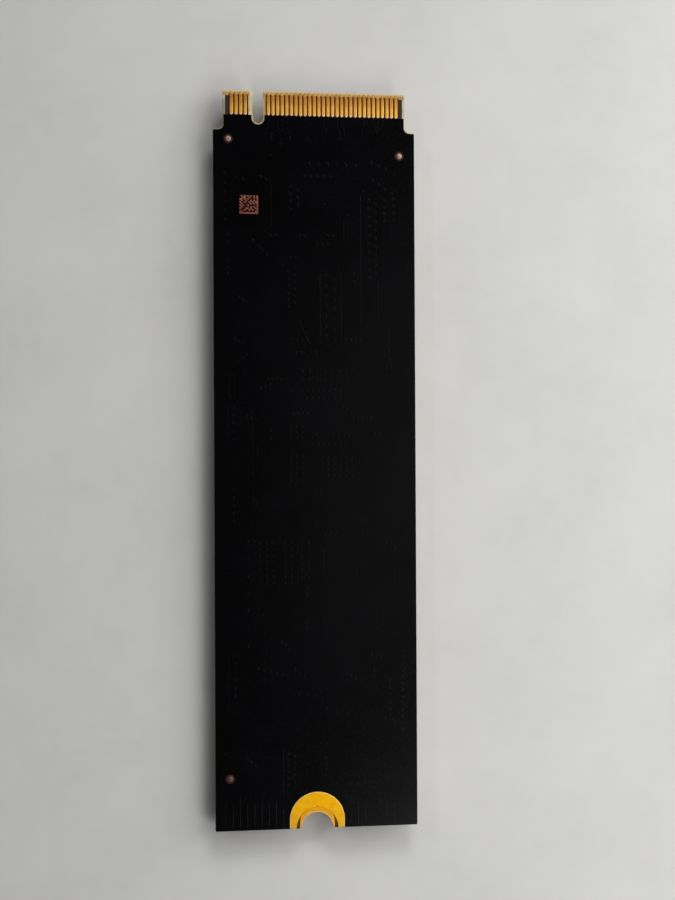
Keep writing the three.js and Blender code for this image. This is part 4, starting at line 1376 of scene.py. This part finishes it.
# Soft boxes round the drive: name, place, width and height, power
STUDIO_LIGHTS = [
    ("front_window", (0.085, 0.505, 0.315), (0.25, 0.16), 1.4),
    ("right_window", (0.135, 0.06, 0.11), (0.15, 0.16), 0.19),
    ("right_strip", (0.075, -0.11, 0.12), (0.07, 0.11), 0.1),
    ("right_tall_strip", (0.125, -0.01, 0.13), (0.11, 0.29), 0.045),
    ("far_right_card", (0.33, 0.115, 0.11), (0.23, 0.12), 0.31),
    ("far_left_card", (-0.38, 0.31, 0.35), (0.04, 0.04), 0.3),
]


def make_camera():
    data = bpy.data.cameras.new("camera")
    data.lens = CAMERA_LENS
    data.sensor_width = SENSOR
    data.clip_start = CLIP_START
    camera = add_object("camera", data)
    camera.location = Vector(CAMERA_PLACE) + Vector((0, 0, MASK_HIGH.z))
    camera.rotation_euler = [math.radians(angle) for angle in CAMERA_TURN]
    bpy.context.scene.camera = camera


def add_area_light(name, place, size, power):
    data = bpy.data.lights.new(name, "AREA")
    data.shape = "RECTANGLE"
    data.size, data.size_y = size
    data.energy = power
    data.color = WINDOW_COLOUR
    light = add_object(name, data)
    light.location = place
    light.rotation_euler = (-Vector(place)).to_track_quat("-Z", "Y").to_euler()


def make_light():
    world = bpy.data.worlds.new("studio")
    world.use_nodes = True
    background = world.node_tree.nodes["Background"]
    background.inputs["Color"].default_value = ROOM_COLOUR
    background.inputs["Strength"].default_value = ROOM_STRENGTH
    bpy.context.scene.world = world
    for light in STUDIO_LIGHTS:
        add_area_light(*light)
    bpy.context.scene.view_settings.view_transform = "Standard"


def make_table():
    floor = grained("table_top", None, (0.60, 0.60, 0.59), (0.66, 0.66, 0.65), 2.2, (0.55, 0.7), 0.004,
                    specular=0.3)
    piece = Piece(BARE)
    piece.solid(block((0, 0), 2 * TABLE_HALF, 2 * TABLE_HALF, TABLE_CORNER), flat(TABLE_THICKNESS),
                FLOOR_Z - TABLE_THICKNESS)
    piece.place("table_top", [floor])


make_board()
for end in ("main", "key"):
    make_contacts(f"contacts_even_{end}", BARE)
for end in ("main", "key"):
    make_contacts(f"contacts_odd_{end}", CHIP)
make_screw_ring("screw_ring_bare_side", BARE, "screw_notch_plating")
make_screw_ring("screw_ring_chip_side", CHIP)
make_screw_wall()
make_mark("fiducial_tab_left", BARE)
make_mark("fiducial_tab_right", BARE)
# The mark by the screw end takes copper darkened by painted shade.
make_mark("fiducial_screw_end", BARE, COPPER_WITH_PAINTED_SHADE)
make_mark("fiducial_chip_side_tab", CHIP)
make_mark("fiducial_chip_side_screw", CHIP)
make_code_patch()
make_bare_relief()
make_chip_side()
make_camera()
make_light()
make_table()
